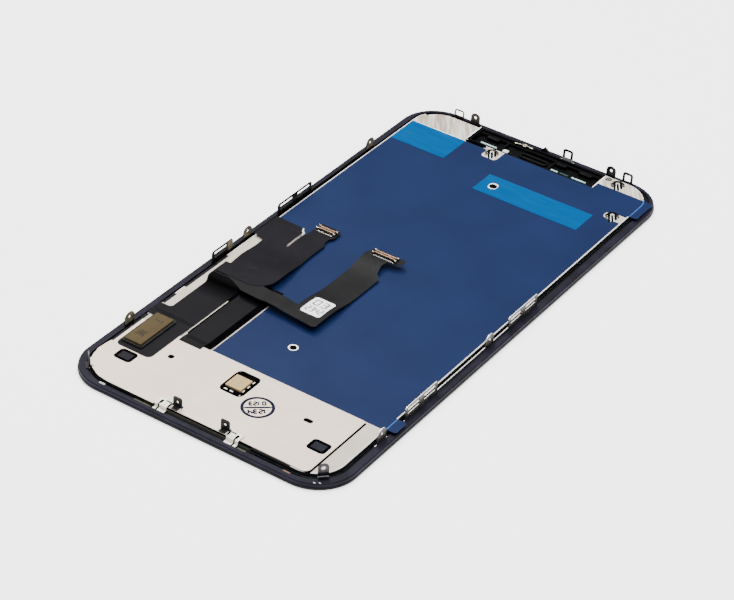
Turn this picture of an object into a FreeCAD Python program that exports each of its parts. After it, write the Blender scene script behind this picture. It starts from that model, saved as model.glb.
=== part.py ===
"""Phone display assembly, lying on its cover glass.

Cover glass, liquid crystal cell, backlight, steel back plate, plastic frame with spring steel
clip strips, and the flexible circuits folded over the back. Millimetres. The origin is the
middle of the glass face that the assembly lies on, +Z goes up through the layers to the
back, and +Y points to the earpiece end.
"""

import FreeCAD, Part
import math
import os

# Cover glass
GLASS_WIDTH = 71.6
GLASS_LENGTH = 147.0
GLASS_CORNER = 10.1
GLASS_THICKNESS = 0.8
GLASS_EDGE = 0.3
HALF_WIDTH = GLASS_WIDTH / 2
HALF_LENGTH = GLASS_LENGTH / 2

# Layers behind the glass, from front to back
ADHESIVE_THICKNESS = 0.12
FRONT_POLARISER_THICKNESS = 0.12
FILTER_GLASS_THICKNESS = 0.18
CELL_GLASS_THICKNESS = 0.18
REAR_POLARISER_THICKNESS = 0.10
FILM_CLEARANCE = 0.02
PRISM_FILM_THICKNESS = 0.06
DIFFUSER_THICKNESS = 0.05
GUIDE_THICKNESS = 0.45
REFLECTOR_THICKNESS = 0.06
PLATE_THICKNESS = 0.20
PLATE_BEND = 0.12
FILM_THICKNESS = 0.06
TAPE_THICKNESS = 0.06
BOARD_THICKNESS = 0.12
SHIELD_THICKNESS = 0.12
FLEX_THICKNESS = 0.12

# Display panel outline, with the earpiece notch in its top edge
PANEL_SIDE_MARGIN = 2.9
PANEL_TOP_MARGIN = 2.3
PANEL_BOTTOM_MARGIN = 2.6
PANEL_CORNER = 7.5
PANEL_RIGHT = HALF_WIDTH - PANEL_SIDE_MARGIN
PANEL_LEFT = -PANEL_RIGHT
PANEL_TOP = HALF_LENGTH - PANEL_TOP_MARGIN
PANEL_BOTTOM = -HALF_LENGTH + PANEL_BOTTOM_MARGIN
NOTCH_CENTRE = 1.0
NOTCH_WIDTH = 36.4
NOTCH_DEPTH = 7.2
NOTCH_SHOULDER = 0.2
NOTCH_LEFT = NOTCH_CENTRE - NOTCH_WIDTH / 2
NOTCH_RIGHT = NOTCH_CENTRE + NOTCH_WIDTH / 2
ADHESIVE_INSET = 0.6
POLARISER_INSET = 1.2
FILTER_GLASS_INSET = 0.3
CELL_LEDGE = 1.6
DRIVER_IC_LENGTH = 20.0
DRIVER_IC_WIDTH = 0.8
DRIVER_IC_HEIGHT = 0.16

# Backlight
MOULD_WALL = 0.6
PANEL_FIT = 0.05
LED_COUNT = 12
LED_LENGTH = 3.0
LED_DEPTH = 0.6
LED_HEIGHT = 0.36
LED_STRIP_WIDTH = 1.3
LED_STRIP_THICKNESS = 0.08
LED_BAY = 1.5
LED_ROW = PANEL_RIGHT - PANEL_LEFT - 2 * PANEL_CORNER
LED_PITCH = (LED_ROW - LED_LENGTH) / (LED_COUNT - 1)

# Frame
FRAME_INSET = 0.15
FRAME_LEDGE_HEIGHT = 0.45
FRAME_RIM_HEIGHT = 0.50
FRAME_RIM_CHAMFER = 0.25
FRAME_SIDE_STEP = 1.9
FRAME_END_STEP = 1.6
FRAME_STEP_LOW_CORNER = 9.0
FRAME_SIDE_FIT = 0.2
FRAME_END_FIT = 0.4
FRAME_LOW_FIT_CORNER = 0.7
STEP_HALF_WIDTH = HALF_WIDTH - FRAME_SIDE_STEP
STEP_HALF_LENGTH = HALF_LENGTH - FRAME_END_STEP
RIM_PEG_X = NOTCH_CENTRE
RIM_PEG_WIDTH = 2.2
RIM_PEG_DEPTH = 0.7
RIM_PEG_HEIGHT = 1.1

# Clip strips of spring steel
STRIP_THICKNESS = 0.2
STRIP_FOOT = 0.4
STRIP_BEND = 0.12
RAIL_HEIGHT = 1.15
LOOP_HEIGHT = 3.75
LOOP_CORNER = 0.7
LOOP_BAR = 0.45
LOOP_POST = 0.9
LOOP_MIDDLE_POST = 2.0
LOOP_END_POST = 2.4
LOOP_FINGER = 0.25
SLOT_BOTTOM = 1.75
EAR_WIDTH = 3.4
EAR_HEIGHT = 3.8
EAR_HOLE = 0.75
EAR_HOLE_DROP = 1.15

# Side strips, as places along Y
LOW_EAR_FROM_END = 22.2
LOW_EAR_FOOT = 4.4
LEFT_STRIP_FROM_EAR = 30.5
LEFT_LOOP_LENGTH = 8.0
LEFT_EAR_GAP = 4.2
LEFT_PAIR_FROM_START = 26.1
LEFT_PAIR_LENGTH = 13.9
LEFT_EAR_FROM_TOP = 28.8
RIGHT_STRIP_FROM_EAR = 9.1
RIGHT_STRIP_LENGTH = 55.1
RIGHT_PAIR_LENGTH = 12.7
RIGHT_EAR_GAP = 6.4
LOW_EAR_Y = -HALF_LENGTH + LOW_EAR_FROM_END
LEFT_STRIP_START = LOW_EAR_Y + LEFT_STRIP_FROM_EAR
LEFT_PAIR_START = LEFT_STRIP_START + LEFT_PAIR_FROM_START
LEFT_TOP_EAR_Y = HALF_LENGTH - LEFT_EAR_FROM_TOP
RIGHT_STRIP_START = LOW_EAR_Y + RIGHT_STRIP_FROM_EAR

# Top brackets, as places along X
LEFT_LOOP_FROM_NOTCH = 7.2
LEFT_EAR_FROM_NOTCH = 2.4
RIGHT_EAR_FROM_NOTCH = 0.9
RIGHT_LOOP_FROM_NOTCH = 5.6
HOOK_FROM_CENTRE = 6.7
TOP_LEFT_LOOP_HEIGHT = 3.1
TOP_LEFT_LOOP_X = NOTCH_LEFT - LEFT_LOOP_FROM_NOTCH
TOP_LEFT_EAR_X = NOTCH_LEFT - LEFT_EAR_FROM_NOTCH
TOP_RIGHT_EAR_X = NOTCH_RIGHT + RIGHT_EAR_FROM_NOTCH
TOP_RIGHT_LOOP_X = NOTCH_RIGHT + RIGHT_LOOP_FROM_NOTCH
TOP_CENTRE_LOOP_X = NOTCH_CENTRE + HOOK_FROM_CENTRE
TOP_LOOP_WIDTH = 2.8
TOP_LOOP_BAR = 0.6
TOP_LEFT_LOOP_BAR = 0.35
TOP_SLOT_BOTTOM = 1.4
TOP_EAR_WIDTH = 2.6
TOP_FOOT_MARGIN = 0.6
TOP_STRIP_CLEARANCE = 0.1
TOP_STRIP_END = max(TOP_RIGHT_LOOP_X, -TOP_LEFT_LOOP_X) + TOP_LOOP_WIDTH / 2 + TOP_FOOT_MARGIN
FRAME_STEP_TOP_CORNER = STEP_HALF_WIDTH - TOP_STRIP_END - TOP_STRIP_CLEARANCE

# Corner ears, standing across the lower corners
CORNER_EAR_WIDTH = 2.4
CORNER_EAR_TURN = 44.0
CORNER_EAR_REACH = 0.45
CORNER_EAR_HEIGHT = 4.1
CORNER_EAR_HOLE = 1.0
CORNER_FOOT = 0.7

# Screw brackets at the bottom edge
SCREW_EAR_SPACING = 12.6
SCREW_EAR_SETBACK = 1.3
SCREW_EAR_WIDTH = 2.3
SCREW_EAR_HEIGHT = 2.55
SCREW_EAR_HOLE = 1.2
SCREW_EAR_HOLE_HEIGHT = 1.3
SCREW_EAR_CORNER = 0.5
SCREW_EAR_FOOT_WIDTH = 1.6
TONGUE_DEPTH = 0.7
STRAP_STARTS = (1.6, 3.9)
STRAP_WIDTHS = (1.9, 0.8)
STRAP_DROP = 0.3
STRAP_FOOT = 1.1

# Shield over the driver board
SHIELD_LEFT_MARGIN = 0.9
SHIELD_RIGHT_MARGIN = 4.7
SHIELD_DEPTH = 22.15
SHIELD_LEFT = PANEL_LEFT + SHIELD_LEFT_MARGIN
SHIELD_RIGHT = PANEL_RIGHT - SHIELD_RIGHT_MARGIN
SHIELD_TOP = PANEL_BOTTOM + SHIELD_DEPTH
SHIELD_CORNER_STEPS = ((0.0, 12.35), (-0.5, 12.15), (-0.85, 8.1), (0.1, 5.3), (0.5, 4.8), (0.05, 4.35),
                       (1.7, 2.4), (2.35, 2.65), (4.2, 0.95), (5.6, 0.4), (8.3, 0.0))
SHIELD_LEFT_DROP = 0.75
SHIELD_RIGHT_RISE = 0.3
SHIELD_NOTCH_INNER = 7.4
SHIELD_NOTCH_OUTER = 11.2
BOARD_MARGIN = 0.4
BOARD_CORNER = 5.0
BOARD_TAIL_HALF = 14.0
BOARD_TAIL_THICKNESS = 0.1
BOARD_TAIL_GAP = 0.1
CHIP_WINDOW_SIDES = (-3.5, 2.1)
CHIP_WINDOW_LOW = 12.3
CHIP_WINDOW_LENGTH = 7.8
CHIP_WINDOW_CORNER = 0.9
CHIP_LID_MARGINS = (0.5, 1.0, 1.6, 1.8)
CHIP_LID_HEIGHT = 0.45
PAD_LENGTH = 0.75
PAD_WIDTH = 0.4
PAD_HEIGHT = 0.12
FOAM_WINDOW_WIDTH = 4.5
FOAM_WINDOW_LENGTH = 3.7
FOAM_WINDOW_LOW = 7.1
FOAM_LEFT_MARGIN = 4.3
FOAM_RIGHT_MARGIN = 5.5
FOAM_WINDOW_CUT = 0.5
FOAM_MARGIN = 0.4
FOAM_PAD_CUT = 0.3
FOAM_HEIGHT = 0.1
SHIELD_HOLE_RISE = 14.8
SHIELD_HOLE_Y = PANEL_BOTTOM + SHIELD_HOLE_RISE
ROUND_HOLE_X = -18.4
ROUND_HOLE = 1.5
LONG_HOLE_X = 18.3
LONG_HOLE = (2.3, 1.3)

# Protective film, pull tapes and the holes in them
FILM_SIDE_MARGIN = 0.4
FILM_SHIELD_GAP = 0.2
FILM_NOTCH_MARGIN = 0.14
FILM_STEP_WIDTH = 20.05
FILM_STEP_LENGTH = 21.75
FILM_FLEX_WIDTH = 10.0
FILM_FLEX_LENGTH = 52.35
FILM_FLEX_CHAMFER = 2.0
FILM_LEFT_DROP = 8.7
FILM_RIGHT_DROP = 4.6
FILM_NOTCH_SIDES = (-10.3, -5.9)
FILM_NOTCH_DROP = 12.0
FILM_SIDE_NOTCH_DEPTH = 5.0
FILM_SIDE_NOTCH_DROPS = (17.2, 13.9)
FILM_TOP_TAB_REACH = 2.0
FILM_TOP_TAB_DROP = 13.0
FILM_LEFT = PANEL_LEFT + FILM_SIDE_MARGIN
FILM_RIGHT = PANEL_RIGHT - FILM_SIDE_MARGIN
FILM_BOTTOM = SHIELD_TOP + FILM_SHIELD_GAP
FILM_STEP_X = PANEL_LEFT + FILM_STEP_WIDTH
FILM_STEP_Y = SHIELD_TOP + FILM_STEP_LENGTH
FILM_FLEX_X = PANEL_LEFT + FILM_FLEX_WIDTH
FILM_FLEX_Y = SHIELD_TOP + FILM_FLEX_LENGTH
FILM_TOP_LEFT = PANEL_TOP - FILM_LEFT_DROP
FILM_TOP_NOTCH = PANEL_TOP - NOTCH_DEPTH - FILM_NOTCH_MARGIN
FILM_TOP_RIGHT = PANEL_TOP - FILM_RIGHT_DROP
FILM_RISE_X = NOTCH_RIGHT + FILM_NOTCH_MARGIN
FILM_TOP_TAB = PANEL_TOP - FILM_TOP_TAB_DROP
FILM_LOW_TAB_REACH = 2.4
FILM_LOW_TAB = (0.45, 4.95)
FILM_TAB_CORNER = 0.7
LEFT_TAPE_MARGIN = 0.5
LEFT_TAPE_DROP = 8.8
LEFT_TAPE_SIZE = (15.8, 10.4)
RIGHT_TAPE_MARGIN = 7.2
RIGHT_TAPE_DROP = 18.1
RIGHT_TAPE_SIZE = (29.3, 8.4)
LOW_RING_X = 0.4
LOW_RING_RISE = 12.35
TAPE_HOLE_MARGIN = 3.5
TAPE_HOLE_DROP = 4.2
LOW_RING_Y = SHIELD_TOP + LOW_RING_RISE
TAPE_HOLE_X = PANEL_RIGHT - RIGHT_TAPE_MARGIN - RIGHT_TAPE_SIZE[0] + TAPE_HOLE_MARGIN
TAPE_HOLE_Y = PANEL_TOP - RIGHT_TAPE_DROP - TAPE_HOLE_DROP
RING_LENGTH = 3.0
RING_WIDTH = 2.4
PLATE_HOLE = 1.7
TAPE_EDGE_MARGIN = 0.03
EDGE_TAPE_WIDTH = 0.6
EDGE_TAPE_RISE = 7.6
EDGE_TAPE_GAP = 0.3
EDGE_TAPE_NOTCH = (4.8, 8.4)
EDGE_TAPE_END = 24.6

# Main flexible circuit and the circuit beside it
MAIN_FLEX_MARGIN = 2.9
MAIN_FLEX_WIDTH = 8.4
MAIN_FLEX_HEAD_MARGIN = 1.8
MAIN_FLEX_WING_REACH = 0.3
MAIN_FLEX_LOW = 10.95
MAIN_FLEX_WING_LOW = 2.85
MAIN_FLEX_WING_HIGH = 7.75
MAIN_FLEX_CORNER = 1.3
MAIN_FLEX_LAP = 3.8
SHIELD_RAMP = 1.8
FOLD_RAMP_RISE = 20.15
FOLD_RAMP_LENGTH = 2.0
FOLD_LENGTH = 28.25
FOLD_HEIGHT = 1.6
SIDE_FLEX_GAP = 0.7
SIDE_FLEX_FOOT_WIDTH = 5.9
SIDE_FLEX_WIDTH = 7.7
SIDE_FLEX_FOOT_LOW = 1.35
SIDE_FLEX_LOW = 0.15
SIDE_FLEX_LENGTH = 27.75
SIDE_FLEX_LAP = 0.2
MAIN_FLEX_LEFT = PANEL_LEFT + MAIN_FLEX_MARGIN
MAIN_FLEX_RIGHT = MAIN_FLEX_LEFT + MAIN_FLEX_WIDTH
MAIN_FLEX_HEAD_LEFT = PANEL_LEFT + MAIN_FLEX_HEAD_MARGIN
MAIN_FLEX_WING_LEFT = PANEL_LEFT - MAIN_FLEX_WING_REACH
MAIN_FLEX_BOTTOM = SHIELD_TOP - MAIN_FLEX_LOW
MAIN_FLEX_WING_BOTTOM = SHIELD_TOP + MAIN_FLEX_WING_LOW
MAIN_FLEX_HEAD_TOP = SHIELD_TOP + MAIN_FLEX_WING_HIGH
FOLD_RAMP_START = SHIELD_TOP + FOLD_RAMP_RISE
FOLD_RAMP_END = FOLD_RAMP_START + FOLD_RAMP_LENGTH
FOLD_TOP = SHIELD_TOP + FOLD_LENGTH
SIDE_FLEX_LEFT = MAIN_FLEX_RIGHT + SIDE_FLEX_GAP
SIDE_FLEX_RIGHT = SIDE_FLEX_LEFT + SIDE_FLEX_FOOT_WIDTH
SIDE_FLEX_EDGE = SIDE_FLEX_LEFT + SIDE_FLEX_WIDTH
SIDE_FLEX_BOTTOM = SHIELD_TOP - SIDE_FLEX_FOOT_LOW
SIDE_FLEX_STEP = SHIELD_TOP - SIDE_FLEX_LOW
SIDE_FLEX_TOP = SHIELD_TOP + SIDE_FLEX_LENGTH

# Moulded controller and its lid on the main circuit
MODULE_MARGIN = 2.2
MODULE_LOW = 9.55
MODULE_SIZE = (5.7, 12.95)
MODULE_BASE_HEIGHT = 0.4
MODULE_BASE_CORNER = 0.5
MODULE_LID_MARGIN = 0.55
MODULE_LID_HEIGHT = 0.45

# Display circuit, the upper sheet: its outline from the panel's left edge and the fold, its connector
DISPLAY_FLEX_OUTLINE = (
    (3.3, -4.5, 0), (16.9, -4.5, 5.0), (17.0, 3.5, 0), (16.2, 14.5, 0), (16.2, 20.9, 0),
    (15.55, 21.7, 0), (15.55, 23.5, 0), (16.3, 24.7, 0), (16.3, 28.1, 1.2), (10.2, 28.1, 0),
    (10.2, 21.9, 0), (9.7, 21.9, 0), (9.7, 14.9, 0.3), (9.0, 14.9, 0.3), (9.0, 22.0, 0),
    (7.6, 23.7, 0), (0.1, 24.1, 0), (0.1, 14.9, 0), (3.3, 14.3, 0), (4.4, -0.3, 0), (3.3, -1.9, 0))
DISPLAY_FLEX_HOVER = 0.6
DISPLAY_FLEX_SLOPE = (2.0, 13.5)
DISPLAY_FLEX_END = 28.5
DISPLAY_CONNECTOR = (10.7, 15.8, 25.3, 26.9)

# Touch circuit, the arm with the label: its two outlines, its rises and its connector
TOUCH_ROOT_OUTLINE = (
    (6.5, -4.7, 0), (8.9, -5.5, 0), (12.5, -7.4, 1.5), (21.1, -7.9, 0), (27.0, -8.3, 0),
    (27.0, -3.8, 0), (18.4, -3.4, 0), (16.6, -3.1, 0), (6.5, -1.5, 0))
TOUCH_ARM_OUTLINE = (
    (26.0, -8.25, 0), (33.95, -9.0, 1.0), (33.95, 17.2, 0), (32.5, 18.5, 0), (31.9, 21.3, 0.6),
    (32.3, 23.1, 0.6), (34.7, 23.7, 0), (35.8, 24.5, 0.5), (35.6, 26.1, 0.5), (26.9, 25.9, 0.8),
    (26.0, 23.5, 0))
TOUCH_ARCH = ((17.4, 20.6), (22.0, 25.8))
TOUCH_ARCH_HEIGHT = 0.3
TOUCH_DIP = ((-3.5, 8.5), (15.0, 23.3))
TOUCH_DIP_DEPTH = 1.15
TOUCH_CONNECTOR = (27.5, 34.0, 23.8, 25.4)
LABEL = (27.35, 32.7, -5.4, 1.8)
LABEL_CORNER = 0.7
LABEL_THICKNESS = 0.05
CONNECTOR_HEIGHT = 0.55
CONNECTOR_WALL = 0.3
CONTACT_WIDTH = 0.28
CONTACT_RISE = 0.1

# Earpiece and sensor tray in the notch
TRAY_CLEARANCE = 0.2
TRAY_FLOOR = 0.2
TRAY_WALL = 0.5
TRAY_HEIGHT = 1.35
TRAY_RIB_HEIGHT = 0.7
TRAY_LEFT_RIB = 8.8
TRAY_RIGHT_RIB = 13.3
TRAY_SHELF = 1.0
LEFT_SENSOR_PADS = ((3.1, 7.7), (9.8, 12.2))
RIGHT_SENSOR_PADS = ((2.9, 6.9), (7.9, 10.3), (10.9, 12.8))
SENSOR_PAD_WIDTH = 0.5
SENSOR_PAD_HEIGHT = 0.65
SENSOR_PAD_SETBACK = 1.5
CONTACT_RING_X = NOTCH_CENTRE - 5.4
CONTACT_RING = 1.0
CONTACT_BAR = (1.8, 0.3)
CONTACT_HEIGHT = 0.2

# Ground springs on the back plate, and small pads on the frame
MIDDLE_SPRING_X = -8.1
MIDDLE_SPRING_DROP = 10.1
CORNER_SPRING_MARGIN = 8.9
CORNER_SPRING_DROP = 2.2
SIDE_SPRING_MARGIN = 2.9
SIDE_SPRING_DROP = 15.6
SPRING_LENGTH = 2.8
SPRING_WIDTH = 1.6
SPRING_BASE = 0.08
SPRING_ARCH = 0.5
SPRING_LEAF = 0.1
FRAME_PADS = ((-16.0, -11.6), (11.4, 13.6), (23.2, 25.0), (-25.5, -24.0))
FRAME_PAD_WIDTH = 0.45
FRAME_PAD_HEIGHT = 0.1

NOTHING = 1e-6

# Levels through the stack, from the cover glass up
ADHESIVE_Z = GLASS_THICKNESS
FRONT_POLARISER_Z = ADHESIVE_Z + ADHESIVE_THICKNESS
FILTER_GLASS_Z = FRONT_POLARISER_Z + FRONT_POLARISER_THICKNESS
CELL_GLASS_Z = FILTER_GLASS_Z + FILTER_GLASS_THICKNESS
REAR_POLARISER_Z = CELL_GLASS_Z + CELL_GLASS_THICKNESS
LOWER_PRISM_Z = REAR_POLARISER_Z + REAR_POLARISER_THICKNESS + FILM_CLEARANCE
UPPER_PRISM_Z = LOWER_PRISM_Z + PRISM_FILM_THICKNESS
DIFFUSER_Z = UPPER_PRISM_Z + PRISM_FILM_THICKNESS
GUIDE_Z = DIFFUSER_Z + DIFFUSER_THICKNESS
REFLECTOR_Z = GUIDE_Z + GUIDE_THICKNESS
PLATE_Z = REFLECTOR_Z + REFLECTOR_THICKNESS
BACK_Z = PLATE_Z + PLATE_THICKNESS
FILM_TOP_Z = BACK_Z + FILM_THICKNESS
SHIELD_Z = BACK_Z + BOARD_THICKNESS
SHIELD_TOP_Z = SHIELD_Z + SHIELD_THICKNESS
MODULE_Z = SHIELD_TOP_Z + FLEX_THICKNESS
FRAME_LEDGE_Z = GLASS_THICKNESS + FRAME_LEDGE_HEIGHT
FRAME_RIM_Z = FRAME_LEDGE_Z + FRAME_RIM_HEIGHT
FOLD_Z = BACK_Z + FOLD_HEIGHT
ARM_Z = FOLD_Z + FLEX_THICKNESS
DISPLAY_FOLD_Z = ARM_Z + FLEX_THICKNESS
DISPLAY_FLEX_Z = FILM_TOP_Z + DISPLAY_FLEX_HOVER
TRAY_Z = GLASS_THICKNESS + TRAY_FLOOR


def v(x, y, z=0.0):
    return FreeCAD.Vector(x, y, z)


def rounded_wire(corners, z):
    """Closed wire through (x, y, radius) corners, each turned by an arc of its radius."""
    points = [v(x, y, z) for x, y, radius in corners]
    edges = []
    joints = []
    for index, (x, y, radius) in enumerate(corners):
        corner = points[index]
        back = points[index - 1] - corner
        ahead = points[(index + 1) % len(points)] - corner
        if radius < NOTHING:
            joints.append((corner, corner))
            continue
        back.normalize()
        ahead.normalize()
        half = back.getAngle(ahead) / 2
        reach = radius / math.tan(half)
        middle = back + ahead
        middle.normalize()
        middle = corner + middle * (radius / math.sin(half) - radius)
        joints.append((corner + back * reach, corner + ahead * reach))
        edges.append((index, Part.Arc(joints[-1][0], middle, joints[-1][1]).toShape()))
    arcs = dict(edges)
    ordered = []
    for index in range(len(points)):
        if index in arcs:
            ordered.append(arcs[index])
        start = joints[index][1]
        end = joints[(index + 1) % len(points)][0]
        if (end - start).Length > NOTHING:
            ordered.append(Part.LineSegment(start, end).toShape())
    return Part.Wire(ordered)


def slab(corners, z, height):
    """Flat solid with a rounded outline, from z up by its height."""
    return Part.Face(rounded_wire(corners, z)).extrude(v(0, 0, height))


def rectangle(left, right, bottom, top, radius=0.0):
    return [(left, bottom, radius), (right, bottom, radius), (right, top, radius), (left, top, radius)]


def box(left, right, front, back, z, height):
    return Part.makeBox(right - left, back - front, height, v(left, front, z))


def disc(x, y, diameter, z, height):
    return Part.makeCylinder(diameter / 2, height, v(x, y, z))


def mirrored(shape):
    """The same shape on the other side of the YZ plane."""
    return shape.mirror(v(0, 0, 0), v(1, 0, 0))


def export(shape, node):
    shape.exportStep("parts/" + node + ".step")


def panel_outline(inset=0.0, bottom_inset=0.0):
    """Outline of the display panel with its notch, drawn in from the edge by an inset."""
    side = PANEL_RIGHT - inset
    top = PANEL_TOP - inset
    bottom = PANEL_BOTTOM + inset + bottom_inset
    corner = max(PANEL_CORNER - inset, 1.0)
    floor = PANEL_TOP - NOTCH_DEPTH - inset
    left = NOTCH_LEFT - inset
    right = NOTCH_RIGHT + inset
    top_corner = min(corner, side - right - NOTCH_SHOULDER)
    return [(-side, bottom, corner), (side, bottom, corner), (side, top, top_corner),
            (right, top, 0), (right, floor, 0), (left, floor, 0), (left, top, 0), (-side, top, top_corner)]


def glass_outline(inset=0.0):
    """Outline of the cover glass, drawn in from the edge by an inset."""
    side = HALF_WIDTH - inset
    end = HALF_LENGTH - inset
    return rectangle(-side, side, -end, end, GLASS_CORNER - inset)


def edges_at(shape, z):
    """Edges that lie in the level z."""
    return [edge for edge in shape.Edges if all(abs(p.Point.z - z) < NOTHING for p in edge.Vertexes)]


def cover_glass():
    glass = slab(glass_outline(), 0.0, GLASS_THICKNESS)
    return glass.makeChamfer(GLASS_EDGE, edges_at(glass, 0.0))


def panel_layer(z, thickness, inset, bottom_inset=0.0):
    return slab(panel_outline(inset, bottom_inset), z, thickness)


def filter_glass():
    """Front glass of the cell, cut back at the bottom edge to leave a ledge for the driver chip."""
    return panel_layer(FILTER_GLASS_Z, FILTER_GLASS_THICKNESS, FILTER_GLASS_INSET, CELL_LEDGE)


def driver_ic():
    """Bare driver chip on the cell glass's lower ledge, facing the cover glass."""
    middle = PANEL_BOTTOM + FILTER_GLASS_INSET + CELL_LEDGE / 2
    half = DRIVER_IC_LENGTH / 2
    return box(-half, half, middle - DRIVER_IC_WIDTH / 2, middle + DRIVER_IC_WIDTH / 2,
               CELL_GLASS_Z - DRIVER_IC_HEIGHT, DRIVER_IC_HEIGHT)


def guide_inset():
    return PLATE_THICKNESS + PANEL_FIT + MOULD_WALL + PANEL_FIT


def mould_frame():
    """White plastic frame that holds the light guide and its films."""
    outer = slab(panel_outline(PLATE_THICKNESS + PANEL_FIT), REAR_POLARISER_Z, PLATE_Z - REAR_POLARISER_Z)
    opening = panel_outline(PLATE_THICKNESS + PANEL_FIT + MOULD_WALL)
    return outer.cut(slab(opening, REAR_POLARISER_Z, PLATE_Z - REAR_POLARISER_Z))


def led_strip():
    """Narrow circuit along the lower edge that carries the lamps."""
    front = PANEL_BOTTOM + guide_inset()
    return box(PANEL_LEFT + PANEL_CORNER, PANEL_RIGHT - PANEL_CORNER, front, front + LED_STRIP_WIDTH,
               led_strip_z(), LED_STRIP_THICKNESS)


def led_strip_z():
    return PLATE_Z - LED_STRIP_THICKNESS


def lamps():
    """Row of white lamps that shine into the edge of the light guide."""
    front = PANEL_BOTTOM + guide_inset()
    start = -LED_PITCH * (LED_COUNT - 1) / 2
    bodies = []
    for index in range(LED_COUNT):
        x = start + index * LED_PITCH
        bodies.append(box(x - LED_LENGTH / 2, x + LED_LENGTH / 2, front, front + LED_DEPTH,
                          led_strip_z() - LED_HEIGHT, LED_HEIGHT))
    return Part.makeCompound(bodies)


def back_plate():
    """Folded steel tray: a flat back with walls that stand on the edge of the cell glass."""
    height = BACK_Z - REAR_POLARISER_Z
    plate = slab(panel_outline(), REAR_POLARISER_Z, height)
    plate = plate.makeChamfer(PLATE_BEND, edges_at(plate, BACK_Z))
    plate = plate.cut(slab(panel_outline(PLATE_THICKNESS), REAR_POLARISER_Z, PLATE_Z - REAR_POLARISER_Z))
    for x, y in ((LOW_RING_X, LOW_RING_Y), (TAPE_HOLE_X, TAPE_HOLE_Y)):
        plate = plate.cut(disc(x, y, PLATE_HOLE, PLATE_Z, PLATE_THICKNESS))
    return plate


def edge_tape():
    """Black tape along the plate's left edge, in three lengths round the main circuit and a gap."""
    left = PANEL_LEFT + PLATE_BEND + TAPE_EDGE_MARGIN
    right = left + EDGE_TAPE_WIDTH
    lengths = [(PANEL_BOTTOM + EDGE_TAPE_RISE, MAIN_FLEX_WING_BOTTOM - EDGE_TAPE_GAP),
               (MAIN_FLEX_HEAD_TOP + EDGE_TAPE_GAP, MAIN_FLEX_HEAD_TOP + EDGE_TAPE_NOTCH[0]),
               (MAIN_FLEX_HEAD_TOP + EDGE_TAPE_NOTCH[1], MAIN_FLEX_HEAD_TOP + EDGE_TAPE_END)]
    return Part.makeCompound([box(left, right, low, high, BACK_Z, TAPE_THICKNESS) for low, high in lengths])


def film_outline():
    """Blue film, stepped round the flexible circuits and with two tabs past the plate's edge."""
    notch_left, notch_right = FILM_NOTCH_SIDES
    notch_floor = PANEL_TOP - FILM_NOTCH_DROP
    side_low, side_high = [PANEL_TOP - drop for drop in FILM_SIDE_NOTCH_DROPS]
    side_left = FILM_RIGHT - FILM_SIDE_NOTCH_DEPTH
    side_round = (side_high - side_low) * 0.45
    tab_low, tab_high = [FILM_BOTTOM + y for y in FILM_LOW_TAB]
    low_reach = PANEL_RIGHT + FILM_LOW_TAB_REACH
    top_reach = PANEL_RIGHT + FILM_TOP_TAB_REACH
    corner = FILM_TAB_CORNER
    return [(FILM_STEP_X, FILM_BOTTOM, 0), (FILM_RIGHT, FILM_BOTTOM, 0), (FILM_RIGHT, tab_low, 0),
            (low_reach, tab_low, corner), (low_reach, tab_high, corner), (FILM_RIGHT, tab_high, 0),
            (FILM_RIGHT, side_low, 0), (side_left, side_low, side_round),
            (side_left, side_high, side_round), (FILM_RIGHT, side_high, 0), (FILM_RIGHT, FILM_TOP_TAB, 0),
            (top_reach, FILM_TOP_TAB, corner), (top_reach, FILM_TOP_RIGHT, 0),
            (FILM_RISE_X, FILM_TOP_RIGHT, 0), (FILM_RISE_X, FILM_TOP_NOTCH, 0),
            (notch_right, FILM_TOP_NOTCH, 0), (notch_right, notch_floor, 1.0),
            (notch_left, notch_floor, 1.0), (notch_left, FILM_TOP_LEFT, 0), (FILM_LEFT, FILM_TOP_LEFT, 0),
            (FILM_LEFT, FILM_FLEX_Y, 0), (FILM_FLEX_X - FILM_FLEX_CHAMFER, FILM_FLEX_Y, 0),
            (FILM_FLEX_X, FILM_FLEX_Y - FILM_FLEX_CHAMFER, 0), (FILM_FLEX_X, FILM_STEP_Y, 0),
            (FILM_STEP_X, FILM_STEP_Y, 0)]


def oval(x, y, length, width, z, height):
    """Upright slug with round ends, its length along Y."""
    outline = rectangle(x - width / 2, x + width / 2, y - length / 2, y + length / 2, width * 0.49)
    return slab(outline, z, height)


def protective_film():
    film = slab(film_outline(), BACK_Z, FILM_THICKNESS)
    film = film.cut(disc(LOW_RING_X, LOW_RING_Y, RING_WIDTH, BACK_Z, FILM_THICKNESS))
    return film.cut(oval(TAPE_HOLE_X, TAPE_HOLE_Y, RING_LENGTH, RING_WIDTH, BACK_Z, FILM_THICKNESS))


def pull_tape_left():
    width, length = LEFT_TAPE_SIZE
    left = PANEL_LEFT + LEFT_TAPE_MARGIN
    high = PANEL_TOP - LEFT_TAPE_DROP
    return box(left, left + width, high - length, high, FILM_TOP_Z, TAPE_THICKNESS)


def pull_tape_right():
    width, length = RIGHT_TAPE_SIZE
    right = PANEL_RIGHT - RIGHT_TAPE_MARGIN
    high = PANEL_TOP - RIGHT_TAPE_DROP
    tape = box(right - width, right, high - length, high, FILM_TOP_Z, TAPE_THICKNESS)
    return tape.cut(oval(TAPE_HOLE_X, TAPE_HOLE_Y, RING_LENGTH, RING_WIDTH, FILM_TOP_Z, TAPE_THICKNESS))


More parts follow.
